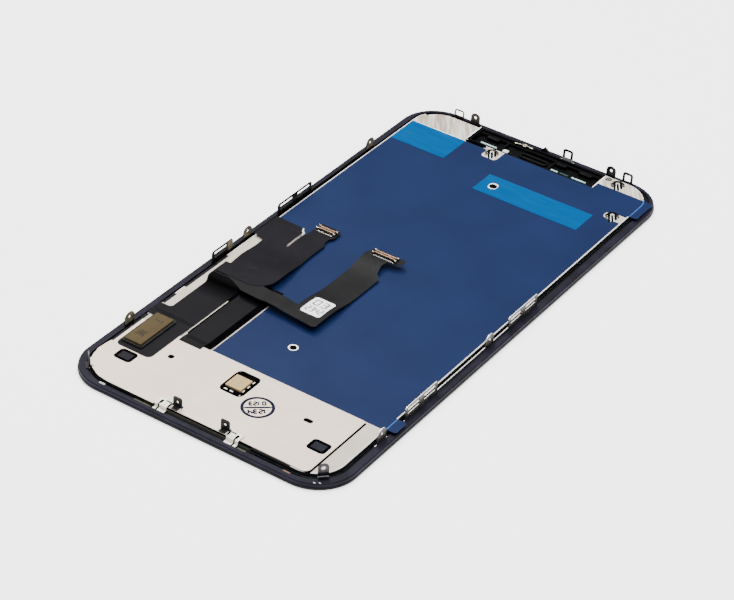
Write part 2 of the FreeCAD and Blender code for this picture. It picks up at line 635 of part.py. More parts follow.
def display_frame():
    """Plastic frame glued round the glass: a ledge inside, a raised rim outside and a peg on top."""
    height = FRAME_LEDGE_HEIGHT + FRAME_RIM_HEIGHT
    reach = PANEL_RIGHT + FRAME_SIDE_FIT
    low = PANEL_BOTTOM - FRAME_END_FIT
    high = PANEL_TOP + FRAME_SIDE_FIT
    low_corner = PANEL_CORNER + FRAME_LOW_FIT_CORNER
    high_corner = PANEL_CORNER + FRAME_SIDE_FIT
    opening = [(-reach, low, low_corner), (reach, low, low_corner), (reach, high, high_corner),
               (-reach, high, high_corner)]
    side = STEP_HALF_WIDTH
    end = STEP_HALF_LENGTH
    step = [(-side, -end, FRAME_STEP_LOW_CORNER), (side, -end, FRAME_STEP_LOW_CORNER),
            (side, end, FRAME_STEP_TOP_CORNER), (-side, end, FRAME_STEP_TOP_CORNER)]
    frame = slab(glass_outline(FRAME_INSET), GLASS_THICKNESS, height)
    frame = frame.makeChamfer(FRAME_RIM_CHAMFER, edges_at(frame, FRAME_RIM_Z))
    frame = frame.cut(slab(opening, GLASS_THICKNESS, height))
    frame = frame.cut(slab(step, FRAME_LEDGE_Z, FRAME_RIM_HEIGHT))
    return frame.fuse(rim_peg())


def rim_peg():
    """Small pointed peg that stands on the rim at the top edge."""
    left = RIM_PEG_X - RIM_PEG_WIDTH / 2
    profile = [(left, FRAME_RIM_Z, 0), (left + RIM_PEG_WIDTH, FRAME_RIM_Z, 0),
               (left + RIM_PEG_WIDTH * 0.75, FRAME_RIM_Z + RIM_PEG_HEIGHT * 0.6, 0.2),
               (left + RIM_PEG_WIDTH * 0.4, FRAME_RIM_Z + RIM_PEG_HEIGHT, 0.2)]
    peg = slab(profile, 0.0, RIM_PEG_DEPTH)
    peg.rotate(v(0, 0, 0), v(1, 0, 0), 90)
    peg.translate(v(0, STEP_HALF_LENGTH + RIM_PEG_DEPTH, 0))
    return peg


def upright(corners, thickness=STRIP_THICKNESS):
    """Standing sheet: an outline of (along, up) corners, its outer face in the plane y = 0."""
    sheet = slab(corners, 0.0, thickness)
    sheet.rotate(v(0, 0, 0), v(1, 0, 0), 90)
    return sheet


def loop(start, end, height, slots, last_post=LOOP_POST):
    """Clip loop: a raised tongue of the strip with one wide slot or two, and a finger along each slot."""
    outline = [(start, 0, 0), (end, 0, 0), (end, height, LOOP_CORNER), (start, height, LOOP_CORNER)]
    sheet = upright(outline)
    width = (end - start - LOOP_POST - last_post - (slots - 1) * LOOP_MIDDLE_POST) / slots
    middle = (SLOT_BOTTOM + height - LOOP_BAR) / 2
    for index in range(slots):
        left = start + LOOP_POST + index * (width + LOOP_MIDDLE_POST)
        lower = rectangle(left, left + width, SLOT_BOTTOM, middle - LOOP_FINGER / 2)
        upper = rectangle(left, left + width, middle + LOOP_FINGER / 2, height - LOOP_BAR)
        sheet = sheet.cut([upright(lower), upright(upper)])
    return sheet


def ear(middle, width=EAR_WIDTH, height=EAR_HEIGHT, hole=EAR_HOLE):
    """Round-topped tongue of the strip with a screw hole."""
    left = middle - width / 2
    corner = width * 0.45
    outline = [(left, 0, 0), (left + width, 0, 0), (left + width, height, corner), (left, height, corner)]
    mouth = v(middle, STRIP_THICKNESS / 2, height - EAR_HOLE_DROP)
    bore = Part.makeCylinder(hole / 2, 2 * STRIP_THICKNESS, mouth, v(0, -1, 0))
    return upright(outline).cut(bore)


def rail(start, end, height=RAIL_HEIGHT):
    """Angle of sheet steel: an edge that stands up and a foot turned inwards on the ledge."""
    edge = upright(rectangle(start, end, 0, height))
    foot = box(start, end, -STRIP_FOOT, 0, 0, STRIP_THICKNESS)
    angle = edge.fuse(foot).removeSplitter()
    outer = [e for e in angle.Edges if all(abs(p.Point.y) + abs(p.Point.z) < NOTHING for p in e.Vertexes)]
    return angle.makeFillet(STRIP_BEND, outer)


def joined(first, *others):
    return first.fuse(list(others)).removeSplitter()


def on_side(strip, turn, x, y):
    """Turn a strip about Z and put its outer face where the frame's step is."""
    strip.rotate(v(0, 0, 0), v(0, 0, 1), turn)
    strip.translate(v(x, y, FRAME_LEDGE_Z))
    return strip


def clip_rail_left():
    """Left strip: one loop, a low ear, a double loop and an ear at the strip's far end."""
    single_end = LEFT_STRIP_START + LEFT_LOOP_LENGTH
    end = LEFT_TOP_EAR_Y + EAR_WIDTH / 2
    strip = joined(rail(LEFT_STRIP_START, end),
                   loop(LEFT_STRIP_START, single_end, LOOP_HEIGHT, 1, LOOP_END_POST),
                   ear(single_end + LEFT_EAR_GAP + EAR_WIDTH / 2),
                   loop(LEFT_PAIR_START, LEFT_PAIR_START + LEFT_PAIR_LENGTH, LOOP_HEIGHT, 2),
                   ear(LEFT_TOP_EAR_Y))
    return on_side(strip, 90, -STEP_HALF_WIDTH, 0)


def clip_rail_right():
    """Right strip: a double loop at each end and an ear between them."""
    end = RIGHT_STRIP_START + RIGHT_STRIP_LENGTH
    pair = RIGHT_PAIR_LENGTH
    strip = joined(rail(RIGHT_STRIP_START, end),
                   loop(RIGHT_STRIP_START, RIGHT_STRIP_START + pair, LOOP_HEIGHT, 2),
                   ear(end - pair - RIGHT_EAR_GAP - EAR_WIDTH / 2),
                   loop(end - pair, end, LOOP_HEIGHT, 2))
    return mirrored(on_side(strip, 90, -STEP_HALF_WIDTH, 0))


def side_ear():
    """Ear by itself low on the left side."""
    strip = joined(rail(LOW_EAR_Y - LOW_EAR_FOOT / 2, LOW_EAR_Y + LOW_EAR_FOOT / 2, STRIP_THICKNESS * 2),
                   ear(LOW_EAR_Y))
    return on_side(strip, 90, -STEP_HALF_WIDTH, 0)


def top_loop(middle, height, bar=TOP_LOOP_BAR):
    """Loop of the top edge: a plain narrow frame."""
    left = middle - TOP_LOOP_WIDTH / 2
    right = middle + TOP_LOOP_WIDTH / 2
    sheet = upright([(left, 0, 0), (right, 0, 0), (right, height, LOOP_CORNER), (left, height, LOOP_CORNER)])
    slot = rectangle(left + bar, right - bar, TOP_SLOT_BOTTOM, height - bar)
    return sheet.cut(upright(slot))


def top_bracket(ear_x, loop_x, loop_height, loop_bar=TOP_LOOP_BAR):
    """Short strip at the top edge with an ear and a narrow loop."""
    low = min(ear_x - TOP_EAR_WIDTH / 2, loop_x - TOP_LOOP_WIDTH / 2) - TOP_FOOT_MARGIN
    high = max(ear_x + TOP_EAR_WIDTH / 2, loop_x + TOP_LOOP_WIDTH / 2) + TOP_FOOT_MARGIN
    strip = joined(rail(low, high, STRIP_THICKNESS * 3), top_loop(loop_x, loop_height, loop_bar),
                   ear(ear_x, TOP_EAR_WIDTH))
    return on_side(strip, 0, 0, STEP_HALF_LENGTH)


def top_hook():
    half = TOP_LOOP_WIDTH / 2 + TOP_FOOT_MARGIN
    strip = joined(rail(TOP_CENTRE_LOOP_X - half, TOP_CENTRE_LOOP_X + half, STRIP_THICKNESS * 3),
                   top_loop(TOP_CENTRE_LOOP_X, LOOP_HEIGHT))
    return on_side(strip, 0, 0, STEP_HALF_LENGTH)


def corner_ear():
    """Ear across the lower left corner, with a foot turned out onto the rim."""
    half = CORNER_EAR_WIDTH / 2
    rim = FRAME_RIM_Z - FRAME_LEDGE_Z
    foot = box(-half, half, 0, CORNER_FOOT, rim, STRIP_THICKNESS)
    strip = joined(ear(0.0, CORNER_EAR_WIDTH, CORNER_EAR_HEIGHT, CORNER_EAR_HOLE), foot)
    turn = math.radians(90 + CORNER_EAR_TURN)
    reach = PANEL_CORNER + CORNER_EAR_REACH
    x = PANEL_LEFT + PANEL_CORNER - reach * math.sin(turn)
    y = PANEL_BOTTOM + PANEL_CORNER + reach * math.cos(turn)
    return on_side(strip, math.degrees(turn), x, y)


def strap(left, width):
    """Flat strap that steps down over the shield's edge to a foot on the frame's rim."""
    drop = PANEL_BOTTOM - STRAP_DROP
    outside = drop - STRIP_THICKNESS
    back = PANEL_BOTTOM + SCREW_EAR_SETBACK + STRIP_THICKNESS
    top = box(left, left + width, outside, back, SHIELD_TOP_Z, STRIP_THICKNESS)
    fall = box(left, left + width, outside, drop, FRAME_RIM_Z, SHIELD_TOP_Z + STRIP_THICKNESS - FRAME_RIM_Z)
    foot = box(left, left + width, drop - STRAP_FOOT, drop, FRAME_RIM_Z, STRIP_THICKNESS)
    return joined(top, fall, foot)


def screw_bracket():
    """Bracket at the bottom edge, right-hand one: a screw ear, its foot, a tongue and two straps."""
    middle = SCREW_EAR_SPACING / 2
    left = middle - SCREW_EAR_WIDTH / 2
    y = PANEL_BOTTOM + SCREW_EAR_SETBACK
    corner = SCREW_EAR_CORNER
    head = upright([(left, 0, 0), (left + SCREW_EAR_WIDTH, 0, 0),
                    (left + SCREW_EAR_WIDTH, SCREW_EAR_HEIGHT, corner), (left, SCREW_EAR_HEIGHT, corner)])
    bore = Part.makeCylinder(SCREW_EAR_HOLE / 2, 2 * STRIP_THICKNESS,
                             v(middle, STRIP_THICKNESS / 2, SCREW_EAR_HOLE_HEIGHT), v(0, -1, 0))
    head = head.cut(bore)
    head.translate(v(0, y + STRIP_THICKNESS, SHIELD_TOP_Z))
    starts = [middle + start for start in STRAP_STARTS]
    right = starts[-1] + STRAP_WIDTHS[-1]
    tongue = box(left, right, y, y + TONGUE_DEPTH, SHIELD_TOP_Z, STRIP_THICKNESS)
    half = SCREW_EAR_FOOT_WIDTH / 2
    foot = box(middle - half, middle + half, PANEL_BOTTOM, y, SHIELD_TOP_Z, STRIP_THICKNESS)
    straps = [strap(start, width) for start, width in zip(starts, STRAP_WIDTHS)]
    return joined(head, tongue, foot, *straps)


def chip_window():
    """Edges of the shield's middle window: left, right, low, high."""
    left, right = CHIP_WINDOW_SIDES
    low = PANEL_BOTTOM + CHIP_WINDOW_LOW
    return (left, right, low, low + CHIP_WINDOW_LENGTH)


def cut_corners(left, right, low, high, cut):
    """Rectangle with its four corners cut off straight."""
    return [(left + cut, low, 0), (right - cut, low, 0), (right, low + cut, 0), (right, high - cut, 0),
            (right - cut, high, 0), (left + cut, high, 0), (left, high - cut, 0), (left, low + cut, 0)]


def foam_windows():
    """Edges of the shield's two corner windows."""
    low = PANEL_BOTTOM + FOAM_WINDOW_LOW
    left = PANEL_LEFT + FOAM_LEFT_MARGIN
    right = PANEL_RIGHT - FOAM_RIGHT_MARGIN
    return [(left, left + FOAM_WINDOW_WIDTH, low, low + FOAM_WINDOW_LENGTH),
            (right - FOAM_WINDOW_WIDTH, right, low, low + FOAM_WINDOW_LENGTH)]


def shield_outline():
    """Cover over the driver board, cut back where the screw brackets step over its edge."""
    low = PANEL_BOTTOM
    inner = SHIELD_NOTCH_INNER
    outer = SHIELD_NOTCH_OUTER
    rise = SHIELD_RIGHT_RISE
    drop = low - SHIELD_LEFT_DROP
    corner = [(SHIELD_LEFT + across, drop + up, 0) for across, up in SHIELD_CORNER_STEPS]
    return corner + [(-outer, drop, 0), (-outer, low, 0), (inner, low, 0), (outer, low + rise, 0),
                     (SHIELD_RIGHT, low + rise, 1.6), (SHIELD_RIGHT, SHIELD_TOP, 0.8),
                     (SHIELD_LEFT, SHIELD_TOP, 0)]


def driver_shield():
    """Thin steel cover with windows for the chip and the foam pads, and two holes."""
    shield = slab(shield_outline(), SHIELD_Z, SHIELD_THICKNESS)
    left, right, low, high = chip_window()
    corner = CHIP_WINDOW_CORNER
    window = [(left, low, corner), (right, low, 2 * corner), (right, high, corner), (left, high, corner)]
    length, width = LONG_HOLE
    long_hole = rectangle(LONG_HOLE_X - length / 2, LONG_HOLE_X + length / 2, SHIELD_HOLE_Y - width / 2,
                          SHIELD_HOLE_Y + width / 2, width * 0.49)
    cuts = [slab(window, SHIELD_Z, SHIELD_THICKNESS),
            slab(cut_corners(*foam_windows()[0], FOAM_WINDOW_CUT), SHIELD_Z, SHIELD_THICKNESS),
            slab(cut_corners(*foam_windows()[1], FOAM_WINDOW_CUT), SHIELD_Z, SHIELD_THICKNESS),
            disc(ROUND_HOLE_X, SHIELD_HOLE_Y, ROUND_HOLE, SHIELD_Z, SHIELD_THICKNESS),
            slab(long_hole, SHIELD_Z, SHIELD_THICKNESS)]
    return shield.cut(cuts)


def driver_board():
    """Black circuit under the shield, with a tail that folds round the panel's edge to the cell glass."""
    left = SHIELD_LEFT + BOARD_MARGIN
    right = SHIELD_RIGHT + BOARD_MARGIN
    low = PANEL_BOTTOM + BOARD_MARGIN
    high = SHIELD_TOP - BOARD_MARGIN
    outline = [(left, low + BOARD_CORNER, 0), (left + BOARD_CORNER, low, 0), (right, low, 0), (right, high, 0),
               (left, high, 0)]
    board = slab(outline, BACK_Z, BOARD_THICKNESS)
    outside = PANEL_BOTTOM - BOARD_TAIL_GAP - BOARD_TAIL_THICKNESS
    half = BOARD_TAIL_HALF
    bottom = CELL_GLASS_Z - BOARD_TAIL_THICKNESS
    over = box(-half, half, outside, low + 1.0, BACK_Z, BOARD_THICKNESS)
    wall = box(-half, half, outside, outside + BOARD_TAIL_THICKNESS, bottom, SHIELD_Z - bottom)
    under = box(-half, half, outside, PANEL_BOTTOM + FILTER_GLASS_INSET, bottom, BOARD_TAIL_THICKNESS)
    return joined(board, over, wall, under)


def chip_lid():
    """Metal lid of the touch chip that shows in the shield's window."""
    left, right, low, high = chip_window()
    margin_left, margin_right, margin_low, margin_high = CHIP_LID_MARGINS
    outline = rectangle(left + margin_left, right - margin_right, low + margin_low, high - margin_high)
    return slab(outline, SHIELD_Z, CHIP_LID_HEIGHT)


def chip_pads():
    """Small white parts that stand along two edges of the window."""
    left, right, low, high = chip_window()
    pads = []
    for x in (left + 1.3, left + 2.8):
        pads.append(box(x - PAD_LENGTH / 2, x + PAD_LENGTH / 2, low + 0.45, low + 0.45 + PAD_WIDTH,
                        SHIELD_Z, PAD_HEIGHT))
    for y in (low + 2.2, low + 4.1, low + 6.0):
        pads.append(box(right - 0.35 - PAD_WIDTH, right - 0.35, y - PAD_LENGTH / 2, y + PAD_LENGTH / 2,
                        SHIELD_Z, PAD_HEIGHT))
    return Part.makeCompound(pads)


def foam_pad(area):
    """Foam block that stands in one of the shield's windows."""
    left, right, low, high = area
    outline = cut_corners(left + FOAM_MARGIN, right - FOAM_MARGIN, low + FOAM_MARGIN, high - FOAM_MARGIN,
                          FOAM_PAD_CUT)
    return slab(outline, SHIELD_Z, FOAM_HEIGHT)


def eased_line(levels, shift):
    """Edges through the (y, z) levels raised by a shift, with two tangent arcs on each slope."""
    edges = []
    for (y0, z0), (y1, z1) in zip(levels, levels[1:]):
        start = v(0, y0, z0 + shift)
        end = v(0, y1, z1 + shift)
        length = y1 - y0
        climb = z1 - z0
        if abs(climb) < NOTHING:
            edges.append(Part.LineSegment(start, end).toShape())
            continue
        radius = (length ** 2 + climb ** 2) / (4 * abs(climb))
        half = math.asin(length / 2 / radius) / 2
        rise = math.copysign(radius * (1 - math.cos(half)), climb)
        along = v(0, radius * math.sin(half), rise)
        middle = (start + end) * 0.5
        edges.append(Part.Arc(start, start + along, middle).toShape())
        edges.append(Part.Arc(middle, end - along, end).toShape())
    return edges


def eased_band(levels, thickness):
    """Wide thin sheet that runs along Y, its underside at the (y, z) levels."""
    lower = eased_line(levels, 0.0)
    upper = eased_line(levels, thickness)
    upper.reverse()
    rise = v(0, 0, thickness)
    first, last = [v(0, y, z) for y, z in (levels[0], levels[-1])]
    start = Part.LineSegment(first, first + rise).toShape()
    end = Part.LineSegment(last, last + rise).toShape()
    profile = Part.Face(Part.Wire(lower + [end] + upper + [start]))
    profile.translate(v(-GLASS_LENGTH, 0, 0))
    return profile.extrude(v(2 * GLASS_LENGTH, 0, 0))


def cut_sheet(band, outline):
    """The part of a band inside an outline."""
    return band.common(slab(outline, 0.0, 2 * FOLD_Z))


def from_fold(points):
    """Corners given from the panel's left edge and the top of the fold, as corners in the frame."""
    return [(PANEL_LEFT + x, FOLD_TOP + y, radius) for x, y, radius in points]


def area_from_fold(area):
    left, right, low, high = area
    return (PANEL_LEFT + left, PANEL_LEFT + right, FOLD_TOP + low, FOLD_TOP + high)


def main_flex():
    """Main circuit: its head lies on the shield, its neck on the plate, and its end lifts to the fold."""
    corner = MAIN_FLEX_CORNER
    outline = [(MAIN_FLEX_HEAD_LEFT, MAIN_FLEX_BOTTOM, corner), (MAIN_FLEX_RIGHT, MAIN_FLEX_BOTTOM, corner),
               (MAIN_FLEX_RIGHT, FOLD_TOP, 0), (MAIN_FLEX_LEFT, FOLD_TOP, 0),
               (MAIN_FLEX_LEFT, MAIN_FLEX_HEAD_TOP, 0.9),
               (MAIN_FLEX_WING_LEFT, MAIN_FLEX_HEAD_TOP, 0.5),
               (MAIN_FLEX_WING_LEFT, MAIN_FLEX_WING_BOTTOM, 0),
               (MAIN_FLEX_HEAD_LEFT, MAIN_FLEX_WING_BOTTOM, 0)]
    lap = SHIELD_TOP + MAIN_FLEX_LAP
    levels = [(MAIN_FLEX_BOTTOM, SHIELD_TOP_Z), (lap, SHIELD_TOP_Z), (lap + SHIELD_RAMP, BACK_Z),
              (FOLD_RAMP_START, BACK_Z), (FOLD_RAMP_END, FOLD_Z), (FOLD_TOP, FOLD_Z)]
    return cut_sheet(eased_band(levels, FLEX_THICKNESS), outline)


def side_flex():
    """Backlight circuit beside the main one, flat on the shield, on the plate and then on the film."""
    outline = [(SIDE_FLEX_LEFT, SIDE_FLEX_BOTTOM, 0), (SIDE_FLEX_RIGHT, SIDE_FLEX_BOTTOM, 0),
               (SIDE_FLEX_RIGHT, SIDE_FLEX_STEP, 0), (SIDE_FLEX_EDGE, SIDE_FLEX_STEP, 0),
               (SIDE_FLEX_EDGE, SIDE_FLEX_TOP, 0), (SIDE_FLEX_LEFT, SIDE_FLEX_TOP, 0)]
    lap = SHIELD_TOP + SIDE_FLEX_LAP
    levels = [(SIDE_FLEX_BOTTOM, SHIELD_TOP_Z), (lap, SHIELD_TOP_Z), (lap + SHIELD_RAMP, BACK_Z),
              (FILM_STEP_Y - SHIELD_RAMP, BACK_Z), (FILM_STEP_Y, FILM_TOP_Z), (SIDE_FLEX_TOP, FILM_TOP_Z)]
    return cut_sheet(eased_band(levels, FLEX_THICKNESS), outline)


def module_area():
    """Edges of the moulded body on the main circuit: left, right, low, high."""
    width, length = MODULE_SIZE
    left = PANEL_LEFT + MODULE_MARGIN
    low = SHIELD_TOP - MODULE_LOW
    return (left, left + width, low, low + length)


def module_base():
    """Moulded body on the main circuit's head."""
    return slab(rectangle(*module_area(), MODULE_BASE_CORNER), MODULE_Z, MODULE_BASE_HEIGHT)


def module_lid():
    """Metal lid over the moulded body."""
    left, right, low, high = module_area()
    margin = MODULE_LID_MARGIN
    return box(left + margin, right - margin, low + margin, high - margin, MODULE_Z + MODULE_BASE_HEIGHT,
               MODULE_LID_HEIGHT)


def display_flex():
    """Upper sheet: it leaves the fold, comes down over the film and ends at the display connector."""
    outline = from_fold(DISPLAY_FLEX_OUTLINE)
    low, high = [FOLD_TOP + y for y in DISPLAY_FLEX_SLOPE]
    levels = [(outline[0][1], DISPLAY_FOLD_Z), (low, DISPLAY_FOLD_Z), (high, DISPLAY_FLEX_Z),
              (FOLD_TOP + DISPLAY_FLEX_END, DISPLAY_FLEX_Z)]
    return cut_sheet(eased_band(levels, FLEX_THICKNESS), outline)


def arm_levels(lift):
    """Levels along the touch circuit's arm: flat, a dip towards the film, and flat at its end."""
    (down, low), (up, high) = [(FOLD_TOP + a, FOLD_TOP + b) for a, b in TOUCH_DIP]
    z = ARM_Z + lift
    bottom = z - TOUCH_DIP_DEPTH
    return [(down - PANEL_CORNER, z), (down, z), (low, bottom), (up, bottom), (high, z),
            (high + PANEL_CORNER, z)]


def touch_flex():
    """Circuit that leaves the fold to the right, arches across, and runs up the panel to its connector."""
    (rise, crest), (fall, end) = [(PANEL_LEFT + a, PANEL_LEFT + b) for a, b in TOUCH_ARCH]
    top = ARM_Z + TOUCH_ARCH_HEIGHT
    levels = [(PANEL_LEFT, ARM_Z), (rise, ARM_Z), (crest, top), (fall, top), (end, ARM_Z),
              (end + PANEL_CORNER, ARM_Z)]
    across = eased_band(levels, FLEX_THICKNESS)
    across.rotate(v(0, 0, 0), v(0, 0, 1), -90)
    root = cut_sheet(across, from_fold(TOUCH_ROOT_OUTLINE))
    arm = cut_sheet(eased_band(arm_levels(0.0), FLEX_THICKNESS), from_fold(TOUCH_ARM_OUTLINE))
    return joined(root, arm)


def flex_label():
    """White label on the touch circuit's arm."""
    band = eased_band(arm_levels(FLEX_THICKNESS), LABEL_THICKNESS)
    return cut_sheet(band, rectangle(*area_from_fold(LABEL), LABEL_CORNER))


def connector(area, z):
    """Board connector: a rim round a valley, with a tongue along its middle."""
    left, right, low, high = area_from_fold(area)
    wall = CONNECTOR_WALL
    half = CONNECTOR_HEIGHT / 2
    body = box(left, right, low, high, z, CONNECTOR_HEIGHT)
    valley = box(left + 2 * wall, right - 2 * wall, low + wall, high - wall, z + half, half)
    middle = (low + high) / 2
    tongue = box(left + 3 * wall, right - 3 * wall, middle - wall / 3, middle + wall / 3, z + half, half)
    return body.cut(valley).fuse(tongue)


def connector_contacts(area, z):
    """Two gold rails that lie along the connector's rims."""
    left, right, low, high = area_from_fold(area)
    wall = CONNECTOR_WALL
    rails = [box(left + 2 * wall, right - 2 * wall, y, y + CONTACT_WIDTH, z + CONNECTOR_HEIGHT, CONTACT_RISE)
             for y in (low, high - CONTACT_WIDTH)]
    return Part.makeCompound(rails)


def tray_area():
    """Outer edges of the tray: left, right, low, high."""
    return (NOTCH_LEFT + TRAY_CLEARANCE, NOTCH_RIGHT - TRAY_CLEARANCE,
            PANEL_TOP - NOTCH_DEPTH + TRAY_CLEARANCE, PANEL_TOP + FRAME_SIDE_FIT - TRAY_CLEARANCE)


def sensor_tray():
    """Black tray in the notch: floor, walls, ribs and a shelf under the top wall."""
    left, right, low, high = tray_area()
    wall = TRAY_WALL
    tray = slab(rectangle(left, right, low, high, 0.5), GLASS_THICKNESS, TRAY_HEIGHT)
    inside = box(left + wall, right - wall, low + wall, high - wall, TRAY_Z, TRAY_HEIGHT)
    starts = (NOTCH_LEFT + TRAY_LEFT_RIB, NOTCH_RIGHT - TRAY_RIGHT_RIB - wall)
    ribs = [box(x, x + wall, low + wall, high - wall, TRAY_Z, TRAY_RIB_HEIGHT) for x in starts]
    shelf = box(left + wall, right - wall, high - wall - TRAY_SHELF, high - wall, TRAY_Z, TRAY_RIB_HEIGHT)
    return joined(tray.cut(inside), *ribs, shelf)


def sensor_pads():
    """Pale foam strips on the tray's floor."""
    left, right, low, high = tray_area()
    y = low + SENSOR_PAD_SETBACK
    ends = [(NOTCH_LEFT + near, NOTCH_LEFT + far) for near, far in LEFT_SENSOR_PADS]
    ends += [(NOTCH_RIGHT - far, NOTCH_RIGHT - near) for near, far in RIGHT_SENSOR_PADS]
    pads = [box(start, end, y, y + SENSOR_PAD_WIDTH, TRAY_Z, SENSOR_PAD_HEIGHT) for start, end in ends]
    return Part.makeCompound(pads)


def sensor_contacts():
    """Small metal contact on the tray's shelf: a ring between two bars."""
    left, right, low, high = tray_area()
    y = high - TRAY_WALL - TRAY_SHELF / 2
    z = TRAY_Z + TRAY_RIB_HEIGHT
    length, width = CONTACT_BAR
    reach = CONTACT_RING / 2 + length
    bars = box(CONTACT_RING_X - reach, CONTACT_RING_X + reach, y - width / 2, y + width / 2, z,
               CONTACT_HEIGHT)
    ring = disc(CONTACT_RING_X, y, CONTACT_RING, z, CONTACT_HEIGHT)
    return joined(bars, ring)


def spring_leaf(middle, width):
    """Leaf folded into an arch: up, across and down, on the spring's base."""
    reach = SPRING_ARCH
    crown = SPRING_ARCH / 2
    leaf = SPRING_LEAF
    profile = [(-reach, 0, 0), (leaf - reach, 0, 0), (leaf - crown, reach - leaf, 0),
               (crown - leaf, reach - leaf, 0), (reach - leaf, 0, 0), (reach, 0, 0), (crown, reach, 0),
               (-crown, reach, 0)]
    arch = upright(profile, width)
    arch.translate(v(middle, 0, 0))
    return arch


def ground_spring(x, y):
    """Spring contact: a base with two arched leaves across it."""
    half = SPRING_LENGTH / 2
    width = SPRING_WIDTH / 2
    spring = box(-half, half, -width, width, 0, SPRING_BASE)
    for side in (-1, 1):
        leaf = spring_leaf(side * (SPRING_ARCH + SPRING_LEAF), SPRING_WIDTH)
        leaf.translate(v(0, width, SPRING_BASE))
        spring = spring.fuse(leaf)
    spring.translate(v(x, y, BACK_Z))
    return spring.removeSplitter()


def ground_springs():
    places = ((MIDDLE_SPRING_X, PANEL_TOP - MIDDLE_SPRING_DROP),
              (PANEL_RIGHT - CORNER_SPRING_MARGIN, PANEL_TOP - CORNER_SPRING_DROP),
              (PANEL_RIGHT - SIDE_SPRING_MARGIN, PANEL_TOP - SIDE_SPRING_DROP))
    return Part.makeCompound([ground_spring(x, y) for x, y in places])


def frame_pads():
    """Thin pads stuck to the rim along the bottom edge."""
    low = -STEP_HALF_LENGTH - FRAME_PAD_WIDTH
    pads = [box(left, right, low, low + FRAME_PAD_WIDTH, FRAME_RIM_Z, FRAME_PAD_HEIGHT)
            for left, right in FRAME_PADS]
    return Part.makeCompound(pads)


def main():
    os.makedirs("parts", exist_ok=True)
    export(cover_glass(), "cover_glass")
    export(panel_layer(ADHESIVE_Z, ADHESIVE_THICKNESS, ADHESIVE_INSET), "optical_adhesive")
    export(panel_layer(FRONT_POLARISER_Z, FRONT_POLARISER_THICKNESS, ADHESIVE_INSET), "front_polariser")
    export(filter_glass(), "filter_glass")
    export(panel_layer(CELL_GLASS_Z, CELL_GLASS_THICKNESS, 0.0), "cell_glass")
    export(panel_layer(REAR_POLARISER_Z, REAR_POLARISER_THICKNESS, POLARISER_INSET), "rear_polariser")
    export(driver_ic(), "display_driver_chip")
    inset = guide_inset()
    export(panel_layer(LOWER_PRISM_Z, PRISM_FILM_THICKNESS, inset, LED_BAY), "lower_prism_film")
    export(panel_layer(UPPER_PRISM_Z, PRISM_FILM_THICKNESS, inset, LED_BAY), "upper_prism_film")
    export(panel_layer(DIFFUSER_Z, DIFFUSER_THICKNESS, inset, LED_BAY), "diffuser_film")
    export(panel_layer(GUIDE_Z, GUIDE_THICKNESS, inset, LED_BAY), "light_guide")
    export(panel_layer(REFLECTOR_Z, REFLECTOR_THICKNESS, inset, LED_BAY), "reflector_film")
    export(mould_frame(), "mould_frame")
    export(led_strip(), "led_strip")
    export(lamps(), "backlight_leds")
    export(back_plate(), "back_plate")
    export(edge_tape(), "edge_tape")
    export(protective_film(), "protective_film")
    export(pull_tape_left(), "pull_tape_left")
    export(pull_tape_right(), "pull_tape_right")
    export(display_frame(), "display_frame")
    export(clip_rail_left(), "clip_rail_left")
    export(clip_rail_right(), "clip_rail_right")
    export(side_ear(), "side_ear_left")
    export(mirrored(side_ear()), "side_ear_right")
    left_bracket = top_bracket(TOP_LEFT_EAR_X, TOP_LEFT_LOOP_X, TOP_LEFT_LOOP_HEIGHT, TOP_LEFT_LOOP_BAR)
    export(left_bracket, "top_bracket_left")
    export(top_bracket(TOP_RIGHT_EAR_X, TOP_RIGHT_LOOP_X, LOOP_HEIGHT), "top_bracket_right")
    export(top_hook(), "top_hook")
    export(corner_ear(), "corner_ear_left")
    export(mirrored(corner_ear()), "corner_ear_right")
    export(mirrored(screw_bracket()), "screw_bracket_left")
    export(screw_bracket(), "screw_bracket_right")
    export(driver_board(), "driver_board")
    export(driver_shield(), "driver_shield")
    export(chip_lid(), "touch_chip_lid")
    export(chip_pads(), "board_pads")
    export(foam_pad(foam_windows()[0]), "foam_pad_left")
    export(foam_pad(foam_windows()[1]), "foam_pad_right")
    export(main_flex(), "main_flex")
    export(side_flex(), "backlight_flex")
    export(module_base(), "module_base")
    export(module_lid(), "module_lid")
    export(display_flex(), "display_flex")
    export(connector(DISPLAY_CONNECTOR, DISPLAY_FLEX_Z + FLEX_THICKNESS), "display_connector")
    export(connector_contacts(DISPLAY_CONNECTOR, DISPLAY_FLEX_Z + FLEX_THICKNESS), "display_contacts")
    export(touch_flex(), "touch_flex")
    export(flex_label(), "flex_label")
    export(connector(TOUCH_CONNECTOR, ARM_Z + FLEX_THICKNESS), "touch_connector")
    export(connector_contacts(TOUCH_CONNECTOR, ARM_Z + FLEX_THICKNESS), "touch_contacts")
    export(sensor_tray(), "sensor_tray")
    export(sensor_pads(), "sensor_pads")
    export(sensor_contacts(), "sensor_contacts")
    export(ground_springs(), "ground_springs")
    export(frame_pads(), "frame_pads")


main()
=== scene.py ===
import math

import bpy
import numpy as np
from mathutils import Matrix, Vector


